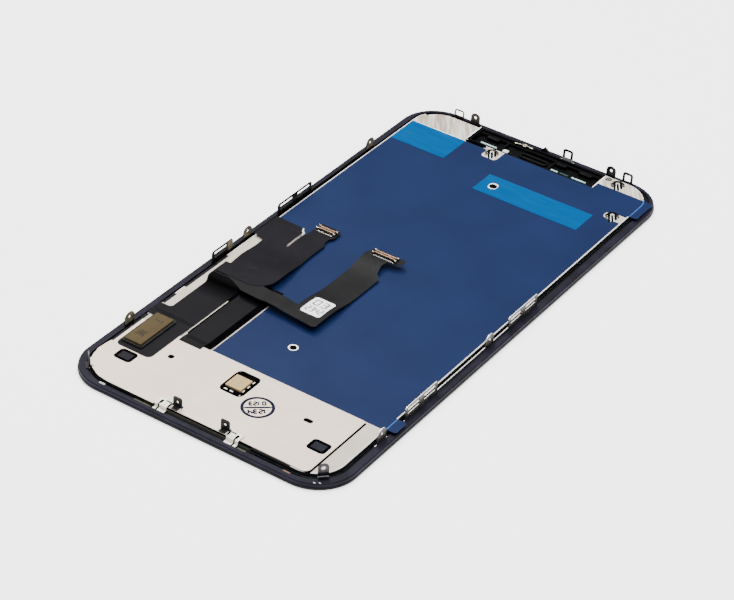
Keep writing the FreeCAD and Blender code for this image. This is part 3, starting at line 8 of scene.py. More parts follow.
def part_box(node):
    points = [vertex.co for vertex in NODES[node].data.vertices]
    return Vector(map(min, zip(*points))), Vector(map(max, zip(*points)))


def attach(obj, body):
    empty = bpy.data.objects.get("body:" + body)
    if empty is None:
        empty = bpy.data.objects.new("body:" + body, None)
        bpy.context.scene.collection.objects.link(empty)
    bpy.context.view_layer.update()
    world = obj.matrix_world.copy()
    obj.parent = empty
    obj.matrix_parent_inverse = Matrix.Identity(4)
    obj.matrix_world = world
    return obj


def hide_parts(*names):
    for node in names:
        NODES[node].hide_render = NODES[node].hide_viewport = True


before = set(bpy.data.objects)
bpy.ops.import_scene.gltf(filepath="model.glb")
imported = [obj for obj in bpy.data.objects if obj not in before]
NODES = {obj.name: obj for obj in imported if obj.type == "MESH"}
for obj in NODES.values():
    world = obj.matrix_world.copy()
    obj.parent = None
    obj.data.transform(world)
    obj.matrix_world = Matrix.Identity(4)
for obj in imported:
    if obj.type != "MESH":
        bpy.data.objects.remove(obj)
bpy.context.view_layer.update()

MM = 0.001

# Camera, solved on the glass outline: angles in degrees, distances in metres, focal length in pixels
VIEW_AZIMUTH = 31.602
VIEW_ELEVATION = 34.902
VIEW_ROLL = 4.189
VIEW_DISTANCE = 0.578867
VIEW_SHIFT = (-0.003547, -0.003958)
FOCAL_PIXELS = 2496.841
PHOTO_WIDTH = 734
SENSOR_WIDTH = 36.0

# Places and sizes in millimetres, in the frame's axes
STAMP_CENTRE = (7.2, -59.1)
STAMP_RADIUS = 3.4
STAMP_LINE = 0.72
INK_HEIGHT = 0.012
PRINT_HEIGHT = 0.006
PIN_PITCH = 0.35
PIN_WIDTH = 0.24
PIN_THICKNESS = 0.05
PIN_FOOT = 0.34
PIN_HOOP = ((0.28, -0.1), (0.31, 0.03), (0.36, 0.05), (0.52, 0.05), (0.57, 0.03), (0.6, -0.1))
PIN_SOLE = ((-PIN_FOOT - 0.1, 0.01), (-PIN_FOOT, 0.01), (-0.1, 0.01), (-0.04, 0.06))
END_CLIP_LENGTH = 0.42
COVER_WINDOW_MARGIN = 0.5
LID_MARK_CELLS = 9
LID_MARK_PITCH = 0.24
FILM_LINE_WIDTH = 0.3
FILM_LINE_HEIGHT = 0.03
PANEL_CORNER = 7.5
GASKET_WIDTH = 0.55
PLATE_WALL_TOP = 0.03
PLATE_MARGIN = 0.32
PLATE_MARGIN_END = 24.0
STREAK_TURN = -math.radians(34)
STREAK_START = 56
HOOK_FOOT = 1.45
STAMP_TURN = math.radians(219)
LEDGE_LEVEL = 1.25
RAIL_TOP = 2.4
RIM_HIGHLIGHT_WIDTH = 0.32
DENT = (-23.0, -19.8, 0.0)
PLATE_HOLES = ((0.4, -36.4, 0.85, 1.3), (-0.1, 48.9, 1.02, 1.45))
RIVET = (20.6, 69.95)
EDGE_SEAL_WIDTH = 0.8
BORDER_WIDTH = 1.75
CHIP_WINDOW = (-3.4, 2.0, -58.5, -50.9)
EAR_PLACE = (6.3, -69.5, 3.94)
GROMMET_REACH = 0.48
GROMMET_WIDTH = 0.2
GROMMET_DEPTH = 0.15
# painted shade: lines round the cover's windows and strips beside the brackets' straps
SHADE_LINE_WIDTH = 0.8
SHADE_LINE_HEIGHT = 0.012
TAPE_ARCH = 0.02
STRAP_GAP_SHADES = (((10.0, 1.3), (10.0, 2.75), 0.62), ((7.8, 1.3), (7.8, 2.75), 0.42),
               ((7.75, 2.85), (9.4, 2.85), 0.4))
STRAP_START = 7.75
CIRCUIT_LIFT = 0.13
SHIELD_STEP = (0.2, 2.0)
FILM_STEP = (19.95, 21.75)
ARM_SPAN = (-3.5, 8.5)
ARM_DROP = 1.15
FOAM_CELL = 0.22
FLOOR_HALF = 3000
FLEX_SLOT = ((-24.14, -4.19), (-24.3, -1.0), (-24.44, 2.12), (-24.8, 3.1), (-25.27, 3.93))
WASHER = (-4.1, 70.8)
CONTACT_PLACES = ((-8.1, 61.4), (24.0, 68.6), (29.9, 55.3))
CONTACT_ACROSS = math.radians(39.5)
CONTACT_UP = math.radians(121.6)
CLASP_LINES = (((-1.1, 1.8), (-0.05, 2.3), 0.7), ((-0.05, 2.3), (1.0, 1.8), 0.7),
               ((-0.82, 2.0), (-0.78, -0.2), 0.55), ((-0.8, 0.2), (-0.98, -2.1), 0.36),
               ((-0.05, 1.2), (-0.05, -2.0), 0.44), ((0.78, 1.9), (0.76, -1.3), 0.52),
               ((-1.8, 0.9), (-1.0, 1.7), 0.5), ((0.9, 1.7), (1.6, 0.8), 0.5))
FINGER_LINES = (((-0.43, 1.1), (-0.46, -2.1), 0.26), ((0.34, 1.1), (0.32, -2.0), 0.26))


def tint(red, green, blue):
    """Screen colour of 0 to 255 as the linear colour that a shader takes."""
    screen = np.array([red, green, blue]) / 255
    linear = np.where(screen <= 0.04045, screen / 12.92, ((screen + 0.055) / 1.055) ** 2.4)
    return (*linear.tolist(), 1.0)


def box_mm(node):
    """Lowest and highest corner of a node in millimetres."""
    return [np.array(corner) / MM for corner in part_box(node)]


# Node graphs

class Graph:
    """Short way to add nodes to a material and join them."""

    def __init__(self, name, shine=0.5):
        self.material = bpy.data.materials.new(name)
        self.material.use_nodes = True
        self.tree = self.material.node_tree
        self.shader = self.tree.nodes["Principled BSDF"]
        self.shader.inputs["Specular IOR Level"].default_value = shine

    def add(self, kind, inputs=None, **settings):
        node = self.tree.nodes.new("ShaderNode" + kind)
        for key, value in settings.items():
            setattr(node, key, value)
        for key, value in (inputs or {}).items():
            self.feed(node.inputs[key], value)
        return node

    def feed(self, socket, value):
        if isinstance(value, bpy.types.NodeSocket):
            self.tree.links.new(value, socket)
        else:
            socket.default_value = value

    def place(self, scale=(1, 1, 1), turn=0.0):
        """Object coordinates in metres, turned about Z and then stretched by a scale."""
        coords = self.add("TexCoord").outputs["Object"]
        turned = self.add("Mapping", {"Vector": coords, "Rotation": (0, 0, turn)}).outputs[0]
        return self.add("Mapping", {"Vector": turned, "Scale": scale}).outputs[0]

    def axis(self, name):
        """One of the object coordinates, in millimetres."""
        parts = self.add("SeparateXYZ", {"Vector": self.place((1 / MM, 1 / MM, 1 / MM))})
        return parts.outputs[name]

    def facing(self, name):
        """One part of the direction that the surface faces."""
        return self.add("SeparateXYZ", {"Vector": self.add("NewGeometry").outputs["Normal"]}).outputs[name]

    def above(self, value, limit):
        """1 where the value is over a limit, else 0."""
        return self.maths("GREATER_THAN", value, limit)

    def below(self, value, limit):
        """1 where the value is under a limit, else 0."""
        return self.maths("LESS_THAN", value, limit)

    def within(self, value, low, high):
        """1 where the value lies between two limits, else 0."""
        return self.times(self.above(value, low), self.below(value, high))

    def noise(self, size, detail=3.0, roughness=0.5, stretch=(1, 1, 1), turn=0.0):
        """Noise whose blobs are about as wide as the size, in millimetres."""
        return self.add("TexNoise", {"Vector": self.place(stretch, turn), "Scale": 1 / (size * MM),
                                     "Detail": detail, "Roughness": roughness}).outputs["Fac"]

    def cells(self):
        """Distance to the nearest foam cell's middle."""
        return self.add("TexVoronoi", {"Vector": self.place(),
                                       "Scale": 1 / (FOAM_CELL * MM)}).outputs["Distance"]

    def spread(self, value, low, high, start=0.3, end=0.7):
        """A value between start and end carried to the range from low to high."""
        return self.add("MapRange", {"Value": value, "From Min": start, "From Max": end,
                                     "To Min": low, "To Max": high}).outputs["Result"]

    def blend(self, factor, first, second):
        node = self.add("Mix", data_type="RGBA")
        self.feed(node.inputs[0], factor)
        self.feed(node.inputs[6], first)
        self.feed(node.inputs[7], second)
        return node.outputs[2]

    def shade(self, value, dark, light, *limits):
        """Screen colour from dark to light as a value crosses its limits."""
        return self.blend(self.spread(value, 0, 1, *limits), tint(*dark), tint(*light))

    def maths(self, operation, first, second=0.0):
        node = self.add("Math", operation=operation)
        self.feed(node.inputs[0], first)
        self.feed(node.inputs[1], second)
        return node.outputs[0]

    def plus(self, first, second):
        return self.maths("ADD", first, second)

    def times(self, first, second):
        return self.maths("MULTIPLY", first, second)

    def absolute(self, value):
        return self.maths("ABSOLUTE", value)

    def bump(self, height, depth, strength=1.0):
        """Relief of a height between 0 and 1, its depth in millimetres."""
        node = self.add("Bump", {"Height": height, "Distance": depth * MM, "Strength": strength})
        self.feed(self.shader.inputs["Normal"], node.outputs["Normal"])

    def finish(self, colour, rough, metal=0.0):
        self.feed(self.shader.inputs["Base Color"], colour)
        self.feed(self.shader.inputs["Roughness"], rough)
        self.feed(self.shader.inputs["Metallic"], metal)
        return self.material


# Finishes

def cover_glass_black():
    """Black print behind clear glass, with faint smears that dull the shine."""
    g = Graph("cover_glass_black", 0.08)
    smear = g.noise(14, 2)
    return g.finish(g.shade(smear, (8, 8, 11), (15, 15, 20)), g.spread(smear, 0.06, 0.14))


def frame_indigo():
    """Dark indigo moulding: a fine grain, soft lighter patches, and a ledge darkened by painted shade."""
    g = Graph("frame_indigo", 0.08)
    grain = g.noise(0.12, 2)
    cloud = g.noise(5, 3)
    # painted shade: upward faces low on the ledge take the darker floor tone
    ledge = g.times(g.above(g.facing("Z"), 0.8), g.below(g.axis("Z"), LEDGE_LEVEL + 0.05))
    wall = g.shade(cloud, (15, 14, 22), (27, 25, 38))
    floor = g.shade(cloud, (7, 7, 10), (13, 12, 17))
    g.bump(grain, 0.012, 0.6)
    return g.finish(g.blend(ledge, wall, floor), g.spread(grain, 0.42, 0.56))


def rolled_steel(name, dark, light, rough=(0.22, 0.36), metal=1.0, depth=0.004, turn=0.0, shine=0.5):
    """Rolled sheet: long fine grain lines one way, soft clouds over them and small dull spots."""
    g = Graph(name, shine)
    lines = g.noise(0.09, 2, 0.6, (1, 0.04, 1), turn)
    streaks = g.noise(0.7, 2, 0.5, (1, 0.06, 1), turn)
    cloud = g.noise(9, 3)
    spots = g.noise(0.6, 4, 0.7)
    tone = g.plus(g.spread(lines, 0, 0.25), g.spread(cloud, 0, 0.45))
    tone = g.plus(tone, g.spread(streaks, 0, 0.3))
    g.bump(g.plus(lines, g.spread(spots, 0, 0.6)), depth)
    return g.finish(g.blend(tone, tint(*dark), tint(*light)),
                    g.plus(g.spread(lines, *rough), g.spread(spots, -0.03, 0.05)), metal)


def bracket_steel():
    """Screw brackets: one steel in a shaded and a lit tone. The ears take painted shade, the straps
    painted light where they reach outwards, and their sheared sides painted shade again."""
    g = Graph("screw_bracket_steel", 0.2)
    lines = g.noise(0.15, 2, 0.6, (1, 0.2, 1))
    # painted light on the outward straps, painted shade on the ears and the sheared sides
    bright = g.above(g.absolute(g.axis("X")), STRAP_START)
    bright = g.times(bright, g.below(g.absolute(g.facing("X")), 0.6))
    painted_shade_tone = g.shade(lines, (14, 15, 17), (30, 31, 33))
    painted_light_tone = g.shade(lines, (206, 202, 186), (240, 237, 222))
    return g.finish(g.blend(bright, painted_shade_tone, painted_light_tone), g.spread(lines, 0.3, 0.4), 0.3)


def rail_steel(name, ear_bands):
    """Clip strip on the left side: sprung steel painted dark as shade, whose ears and end post, found by
    their places along Y, take painted light, a bronze tone, on their broad faces."""
    g = Graph(name, 0.15)
    lines = g.noise(0.4, 2, 0.6, (1, 0.3, 1))
    along = g.axis("Y")
    # painted light: bronze on the broad faces of the ears and end post, above the rail's top
    lit_ear_faces = 0.0
    for low, high in ear_bands:
        lit_ear_faces = g.plus(g.within(along, low, high), lit_ear_faces)
    lit_ear_faces = g.times(lit_ear_faces, g.above(g.axis("Z"), RAIL_TOP))
    lit_ear_faces = g.times(lit_ear_faces, g.above(g.absolute(g.facing("X")), 0.6))
    dark = g.shade(lines, (9, 9, 9), (24, 23, 22))
    bronze = g.shade(lines, (70, 65, 52), (132, 124, 106))
    return g.finish(g.blend(lit_ear_faces, dark, bronze), g.spread(lines, 0.3, 0.4), 0.25)


def bright_rail():
    """Right clip strip: polished, its upturned edges white as a painted highlight, grey down its face."""
    g = Graph("clip_steel_bright", 0.3)
    lines = g.noise(0.7, 2, 0.5, (1, 0.2, 1))
    # painted highlight: faces turned upwards are white
    up = g.above(g.facing("Z"), 0.3)
    face = g.shade(lines, (22, 21, 20), (74, 71, 66))
    return g.finish(g.blend(up, face, tint(246, 244, 238)), 0.26, 0.4)


def corner_ear_steel():
    """Corner ears: painted shade and light in bands by height: dark foot, bright bend, dark, grey top."""
    g = Graph("corner_ear_steel", 0.2)
    level = g.axis("Z")
    lines = g.noise(0.3, 2)
    grey = g.shade(lines, (22, 21, 24), (70, 67, 73))
    # painted shade low down, and a painted highlight on the bend
    colour = g.blend(g.above(level, 3.15), tint(10, 10, 12), grey)
    colour = g.blend(g.within(level, 1.95, 2.15), colour, tint(190, 188, 192))
    return g.finish(colour, 0.3, 0.3)


def plate_steel():
    """Back plate: bright rolled steel, with painted upright reflections mottling its upper end and a
    painted highlight along its rim and by the notch. Its walls and its lower margin by the cover are near
    black."""
    g = Graph("plate_steel", 0.3)
    lines = g.noise(0.12, 2, 0.6, (1, 0.05, 1))
    cloud = g.noise(6, 3)
    streaks = g.noise(0.9, 3, 0.6, (1, 0.09, 1), STREAK_TURN)
    steel = g.blend(g.plus(g.spread(lines, 0, 0.4), g.spread(cloud, 0, 0.6)),
                    tint(212, 200, 186), tint(242, 232, 218))
    # painted reflections: upright streaks mottle the plate's upper end
    mottled = g.shade(streaks, (184, 166, 146), (252, 248, 238), 0.4, 0.62)
    low, high = box_mm("back_plate")
    steel = g.blend(g.times(g.spread(g.axis("Y"), 0, 1, STREAK_START, STREAK_START + 3), 0.85),
                    steel, mottled)
    middle = (low + high) / 2
    half = (high - low) / 2 - PANEL_CORNER
    over = []
    for name, centre, reach in zip("XY", middle, half):
        off = g.absolute(g.maths("SUBTRACT", g.axis(name), centre))
        over.append(g.maths("MAXIMUM", g.maths("SUBTRACT", off, reach), 0.0))
    reach = g.maths("SQRT", g.plus(g.maths("POWER", over[0], 2.0), g.maths("POWER", over[1], 2.0)))
    # painted highlight: a white band along the rim and beside the notch
    rim = g.above(reach, PANEL_CORNER - RIM_HIGHLIGHT_WIDTH)
    tray = box_mm("sensor_tray")
    across = g.absolute(g.maths("SUBTRACT", g.axis("X"), (tray[0][0] + tray[1][0]) / 2))
    beside = g.below(across, (tray[1][0] - tray[0][0]) / 2 + 0.5)
    upper = g.above(g.axis("Y"), tray[0][1] - 0.5)
    rim = g.maths("MAXIMUM", rim, g.times(beside, upper))
    steel = g.blend(rim, steel, tint(255, 253, 248))
    wall = g.below(g.axis("Z"), high[2] - PLATE_WALL_TOP)
    margin = g.below(g.axis("Y"), low[1] + PLATE_MARGIN)
    inner = g.below(g.axis("X"), PLATE_MARGIN_END)
    dark = g.maths("MAXIMUM", wall, g.times(margin, inner))
    g.bump(g.plus(g.spread(streaks, 0, 0.3), g.spread(lines, 0, 0.12)), 0.03, 0.4)
    return g.finish(g.blend(dark, steel, tint(7, 7, 9)),
                    g.plus(g.spread(lines, 0.1, 0.16), g.times(dark, 0.4)),
                    g.times(g.maths("SUBTRACT", 1.0, dark), 0.4))


def hook_steel():
    """Hook at the top edge: a dark loop above a foot painted bright as a reflection."""
    g = Graph("hook_steel", 0.1)
    lines = g.noise(0.15, 2)
    # painted reflection: the foot, low on the hook, is bright
    foot = g.below(g.axis("Z"), box_mm("top_hook")[0][2] + HOOK_FOOT)
    dark = g.shade(lines, (10, 10, 12), (24, 24, 27))
    bright = g.shade(lines, (128, 134, 128), (188, 194, 188))
    g.bump(lines, 0.004)
    return g.finish(g.blend(foot, dark, bright), 0.35, 0.4)


def reflector_shade_backed():
    """Silver reflector whose back, which shows in the plate's two holes, is painted black as shade."""
    g = Graph("reflector_shade_backed", 0.02)
    cloud = g.noise(4, 2)
    # painted shade: the upward back face, seen through the holes, is black
    back = g.above(g.facing("Z"), 0.5)
    silver = g.shade(cloud, (224, 224, 228), (245, 245, 248))
    return g.finish(g.blend(back, silver, tint(6, 6, 7)), g.plus(g.times(back, 0.4), 0.15),
                    g.maths("SUBTRACT", 1.0, back))


def film_dark_blue():
    """Protective film: dark blue, slightly rippled, with fine scuffs."""
    g = Graph("film_dark_blue", 0.07)
    ripple = g.noise(13, 2, 0.4)
    scuff = g.noise(0.35, 3, 0.7, (1, 0.25, 1), 0.5)
    tone = g.plus(g.spread(ripple, 0, 0.7), g.spread(scuff, 0, 0.3))
    g.bump(g.plus(ripple, g.spread(scuff, 0, 0.02)), 0.05, 0.5)
    return g.finish(g.blend(tone, tint(14, 27, 59), tint(18, 32, 67)), g.spread(scuff, 0.36, 0.48))


def tape_bright_blue():
    """Pull tape: bright blue with long faint drag marks."""
    g = Graph("tape_bright_blue", 0.04)
    drag = g.noise(0.8, 3, 0.5, (0.12, 1, 1))
    g.bump(drag, 0.008, 0.5)
    return g.finish(g.shade(drag, (0, 63, 111), (0, 70, 120)), g.spread(drag, 0.36, 0.46))


def circuit_black(name, dark, light, fold=None, dent=None):
    """Flexible circuit: matt black with paler cut edges, partly their own tone and partly a painted
    highlight, the buried copper lines just telling. It may have a deep painted shade towards a fold,
    between two Y coordinates, and a dent at a point."""
    g = Graph(name, 0.06)
    cloud = g.noise(5, 3)
    grain = g.noise(0.1, 2)
    lines = g.add("TexWave", {"Vector": g.place(), "Scale": 420.0, "Distortion": 0.8, "Detail": 1.0,
                              "Detail Scale": 40.0}, bands_direction="X").outputs["Fac"]
    tone = g.plus(g.spread(cloud, 0, 0.8), g.spread(lines, 0, 0.2))
    colour = g.blend(tone, tint(*dark), tint(*light))
    if fold is not None:
        near = g.times(g.spread(g.axis("Y"), 0, 1, *fold), g.below(g.axis("Y"), fold[1] + 3.0))
        colour = g.blend(near, colour, tint(1, 1, 2))
    # paler cut edges: partly their own tone, partly a painted highlight on the side faces
    cut = g.below(g.absolute(g.facing("Z")), 0.2)
    colour = g.blend(cut, colour, tint(46, 44, 46))
    relief = g.plus(g.spread(lines, 0, 0.02), g.spread(grain, 0, 0.016))
    if dent is not None:
        span = g.add("VectorMath", {0: g.place((1 / MM, 1 / MM, 0)), 1: dent}, operation="DISTANCE")
        relief = g.plus(relief, g.spread(span.outputs["Value"], 0, 1, 0.2, 1.3))
    g.bump(relief, 0.15, 0.5)
    rough = g.spread(grain, 0.42, 0.55)
    if fold is not None:
        rough = g.plus(rough, g.times(near, 0.4))
    return g.finish(colour, rough)


def moulding(name, dark, light, grain_size=0.15, rough=(0.5, 0.65), depth=0.01, shine=0.3):
    """Moulded or painted part: two close tones in soft clouds, and a fine grain."""
    g = Graph(name, shine)
    cloud = g.noise(2.5, 3)
    grain = g.noise(grain_size, 2)
    g.bump(grain, depth, 0.6)
    return g.finish(g.shade(cloud, dark, light), g.spread(grain, *rough))


def board_ribbed():
    """Driver board: black lacquer; its folded tail, ribbed across, takes a lighter olive grey as painted
    light.
    """
    g = Graph("board_ribbed", 0.0)
    ribs = g.add("TexWave", {"Vector": g.place(), "Scale": 900.0, "Distortion": 0.4}, bands_direction="X")
    grain = g.noise(0.12, 2)
    # painted light: the low folded tail takes a much lighter tone than the black top
    low = g.below(g.axis("Z"), box_mm("back_plate")[1][2] - 0.2)
    g.bump(g.plus(ribs.outputs["Fac"], g.spread(grain, 0, 0.4)), 0.03, 0.6)
    return g.finish(g.blend(g.spread(grain, 0, 1), g.blend(low, tint(3, 3, 4), tint(56, 58, 54)),
                            g.blend(low, tint(8, 8, 9), tint(86, 88, 82))), g.spread(grain, 0.5, 0.64))


def rim_pads():
    """Pads on the rim, each by its X coordinate: pale, olive, olive and brown."""
    g = Graph("rim_pads", 0.3)
    across = g.axis("X")
    grain = g.noise(0.2, 3)
    olive = g.shade(grain, (46, 47, 36), (66, 66, 52))
    brown = g.shade(grain, (74, 52, 44), (112, 86, 76))
    pale = g.shade(grain, (150, 146, 138), (205, 200, 192))
    colour = g.blend(g.above(across, 18), olive, brown)
    colour = g.blend(g.above(across, -20), pale, colour)
    g.bump(grain, 0.02, 0.6)
    return g.finish(colour, g.spread(grain, 0.5, 0.7))


def foam(name, dark, light):
    """Foam: open cells as small pits, with no shine."""
    g = Graph(name, 0.0)
    cells = g.cells()
    g.bump(cells, 0.05, 0.8)
    return g.finish(g.shade(cells, dark, light, 0.0, 0.6), 0.85)


def foam_mint():
    """Foam strips in the recess: mint, but grey-green and nearly black for two of them."""
    g = Graph("foam_mint", 0.1)
    across = g.axis("X")
    cells = g.cells()
    mint = g.shade(cells, (104, 140, 132), (166, 192, 184), 0.0, 0.6)
    colour = g.blend(g.within(across, -8, -4), mint, tint(9, 13, 11))
    colour = g.blend(g.within(across, 8.6, 11.6), colour, tint(44, 64, 58))
    g.bump(cells, 0.05, 0.8)
    return g.finish(colour, 0.85)


def clear_layer(name, colour, rough, see_through):
    """Thin layer of the display stack, with a faint cloud in its tone."""
    g = Graph(name)
    cloud = g.noise(8, 2)
    deeper = [0.9 * part for part in colour]
    g.shader.inputs["Transmission Weight"].default_value = see_through
    return g.finish(g.shade(cloud, deeper, colour), rough)


def paint(material, *names):
    for name in names:
        NODES[name].data.materials.clear()
        NODES[name].data.materials.append(material)


def coat_outside():
    """Finishes of the nodes that show."""
    paint(cover_glass_black(), "cover_glass")
    paint(frame_indigo(), "display_frame")
    paint(plate_steel(), "back_plate")
    paint(moulding("tape_black", (6, 6, 8), (14, 14, 17), 0.2, (0.4, 0.5), 0.006, 0.1), "edge_tape")
    paint(rolled_steel("shield_steel", (206, 188, 172), (222, 206, 190), (0.36, 0.48), 0.3, 0.006,
                       math.pi / 2), "driver_shield")
    paint(film_dark_blue(), "protective_film")
    paint(tape_bright_blue(), "pull_tape_left", "pull_tape_right")
    paint(rail_steel("clip_steel_dark", ((-9.0, -4.8), (42.8, 46.6), (-14.8, -12.7), (-54.0, -49.0))),
          "clip_rail_left", "side_ear_left")
    paint(bright_rail(), "clip_rail_right", "side_ear_right")
    paint(rolled_steel("thin_steel", (30, 29, 27), (84, 80, 74), (0.28, 0.4), 0.4, 0.001),
          "top_bracket_left")
    paint(corner_ear_steel(), "corner_ear_left", "corner_ear_right")
    paint(rolled_steel("blackened_steel", (9, 9, 10), (26, 25, 27), (0.24, 0.38), 0.3, 0.001),
          "top_bracket_right")
    paint(hook_steel(), "top_hook")
    paint(bracket_steel(), "screw_bracket_left", "screw_bracket_right")
    fold = box_mm("main_flex")[1][1] - 8.1
    paint(circuit_black("circuit_black", (7, 7, 10), (12, 11, 15), fold=(fold - 4.5, fold)), "main_flex")
    paint(circuit_black("circuit_charcoal", (11, 10, 14), (18, 16, 21), dent=DENT), "display_flex")
    paint(circuit_black("circuit_grey", (17, 17, 18), (25, 24, 25)), "touch_flex")
    paint(circuit_black("circuit_narrow", (7, 7, 9), (12, 11, 14)), "backlight_flex")
    paint(board_ribbed(), "driver_board")
    paint(rolled_steel("chip_lid_steel", (148, 124, 82), (188, 160, 116), (0.3, 0.42), 0.1, shine=0.2),
          "touch_chip_lid")
    paint(moulding("part_white", (206, 204, 198), (232, 230, 225), 0.1, (0.4, 0.55)), "board_pads")
    paint(foam("foam_slate", (20, 21, 23), (40, 40, 43)), "foam_pad_left")
    paint(foam("foam_plum", (20, 20, 24), (40, 39, 46)), "foam_pad_right")
    paint(moulding("module_black", (9, 9, 10), (19, 18, 19), 0.12, shine=0.15), "module_base")
    paint(rolled_steel("module_lid_bronze", (58, 47, 28), (76, 66, 45), (0.5, 0.6), 0.0, shine=0.06),
          "module_lid")
    paint(moulding("connector_brown", (12, 8, 7), (26, 18, 14), shine=0.15),
          "display_connector", "touch_connector")
    paint(moulding("label_paper", (232, 232, 234), (248, 248, 250), 0.1, (0.6, 0.75), 0.006), "flex_label")
    paint(moulding("tray_black", (3, 3, 4), (8, 8, 10), 0.12, (0.4, 0.5), 0.008, 0.04), "sensor_tray")
    paint(foam_mint(), "sensor_pads")
    paint(rolled_steel("contact_steel", (150, 138, 120), (206, 196, 178)),
          "sensor_contacts", "ground_springs")
    paint(rim_pads(), "frame_pads")


def coat_hidden_layers():
    """Finishes of the display's own layers, which show only at the notch and in section."""
    paint(clear_layer("adhesive_clear", (226, 228, 232), 0.3, 0.8), "optical_adhesive")
    paint(clear_layer("polariser_grey", (54, 54, 60), 0.3, 0.3), "front_polariser", "rear_polariser")
    paint(clear_layer("panel_glass", (176, 194, 196), 0.05, 0.8), "filter_glass", "cell_glass")
    paint(clear_layer("prism_film", (226, 230, 236), 0.35, 0.5), "lower_prism_film", "upper_prism_film",
          "diffuser_film")
    paint(clear_layer("guide_acrylic", (230, 235, 242), 0.1, 0.8), "light_guide")
    paint(reflector_shade_backed(), "reflector_film")
    paint(moulding("mould_white", (206, 206, 200), (226, 226, 220)), "mould_frame")
    paint(moulding("chip_silicon", (24, 24, 28), (40, 40, 46), 0.2, (0.2, 0.3)), "display_driver_chip")
    paint(moulding("strip_brown", (66, 42, 22), (92, 62, 34)), "led_strip")
    paint(moulding("lamp_cream", (232, 218, 150), (246, 236, 184)), "backlight_leds")


# Surfaces worked out on a grid, in millimetres

def piece(name, points, faces, material, slot, smooth=True):
    """New piece from points in millimetres, carried by the body unless its slot is None."""
    mesh = bpy.data.meshes.new(name)
    mesh.from_pydata((np.asarray(points, float).reshape(-1, 3) * MM).tolist(), [], faces)
    mesh.update()
    if smooth:
        mesh.shade_smooth()
    mesh.materials.append(material)
    made = bpy.data.objects.new(name, mesh)
    bpy.context.scene.collection.objects.link(made)
    if slot is None:
        return made
    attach(made, "root")
    return made


def grid_faces(rows, columns, wrap_rows=False, wrap_columns=False):
    """Quads of a grid whose points go row by row, joined end to end where asked."""
    index = np.arange(rows * columns).reshape(rows, columns)
    if wrap_rows:
        index = np.vstack([index, index[:1]])
    if wrap_columns:
        index = np.hstack([index, index[:, :1]])
    quads = np.stack([index[:-1, :-1], index[1:, :-1], index[1:, 1:], index[:-1, 1:]], -1)
    return quads.reshape(-1, 4).tolist()


def circle(count):
    """Angles of one full turn in equal steps."""
    return np.linspace(0, 2 * np.pi, count, endpoint=False)


def many(blocks):
    """One list of points and faces from several (points, faces) blocks."""
    points = []
    faces = []
    count = 0
    for block_points, block_faces in blocks:
        block_points = np.asarray(block_points, float).reshape(-1, 3)
        faces += [[corner + count for corner in face] for face in block_faces]
        points.append(block_points)
        count += len(block_points)
    return np.vstack(points), faces


def rounded_block(left, right, low, high, bottom, top, corner, edge, turns=4):
    """Block with a rounded outline and a rounded upper edge. Its wall is a grid: round the outline by
    angle, and up a profile that is straight and then a quarter of a circle of the edge's radius."""
    angle = np.linspace(0, np.pi / 2, turns)
    ring = np.concatenate([angle + quarter * np.pi / 2 for quarter in range(4)])
    centre_x = np.repeat([right - corner, left + corner, left + corner, right - corner], turns)
    centre_y = np.repeat([high - corner, high - corner, low + corner, low + corner], turns)
    inset = np.concatenate([[0], edge * (1 - np.cos(angle))])
    level = np.concatenate([[bottom], top - edge + edge * np.sin(angle)])
    reach = np.maximum(corner - inset, 0.02 * corner)[:, None]
    x = centre_x + reach * np.cos(ring)
    y = centre_y + reach * np.sin(ring)
    z = np.repeat(level[:, None], len(ring), 1)
    rows, columns = x.shape
    faces = [face[::-1] for face in grid_faces(rows, columns, wrap_columns=True)]
    faces.append(list(range((rows - 1) * columns, rows * columns)))
    faces.append(list(range(columns))[::-1])
    return np.stack([x, y, z], -1), faces


def ring_band(centre, radius, width, level, height, around=96, across=5):
    """Low ring of ink: it goes round the angle, and its height is an arch of sine across the line."""
    angle, side = np.meshgrid(circle(around), np.linspace(0, 1, across), indexing="ij")
    reach = radius + width * (side - 0.5)
    points = np.stack([centre[0] + reach * np.cos(angle), centre[1] + reach * np.sin(angle),
                       level + height * np.sin(np.pi * side)], -1)
    return points, [face[::-1] for face in grid_faces(around, across, wrap_rows=True)]


def stroke(start, end, width, level, height, along=10, across=5):
    """Low stroke of ink: a straight line with round ends, arched across by a cosine."""
    t, side = np.meshgrid(np.linspace(0, 1, along), np.linspace(-1, 1, across), indexing="ij")
    start, end = np.array(start, float), np.array(end, float)
    run = (end - start) / np.linalg.norm(end - start)
    across_run = np.array([-run[1], run[0]])
    ends = np.sqrt(np.clip(1 - np.abs(2 * t - 1) ** 8, 0.02, 1))
    flat = start + (end - start) * t[..., None] + across_run * (side * ends * width / 2)[..., None]
    points = np.dstack([flat, level + height * np.cos(side * np.pi / 2)])
    return points, grid_faces(along, across)


SEGMENTS = (((0, 2), (1, 2)), ((1, 2), (1, 1)), ((1, 1), (1, 0)), ((0, 0), (1, 0)), ((0, 1), (0, 0)),
            ((0, 2), (0, 1)), ((0, 1), (1, 1)))
DIGITS = {"0": (0, 1, 2, 3, 4, 5), "1": (1, 2), "2": (0, 1, 6, 4, 3), "3": (0, 1, 6, 2, 3),
          "4": (5, 6, 1, 2)}


def digits(text, x, y, width, height, line, level, lift):
    """Plain digits, each made of straight ink strokes; the row starts at x, y."""
    blocks = []
    for index, sign in enumerate(text):
        for segment in DIGITS[sign]:
            ends = np.array(SEGMENTS[segment], float) * (width, height / 2) + (x + index * width * 1.6, y)
            blocks.append(stroke(ends[0], ends[1], line, level, lift))
    return blocks


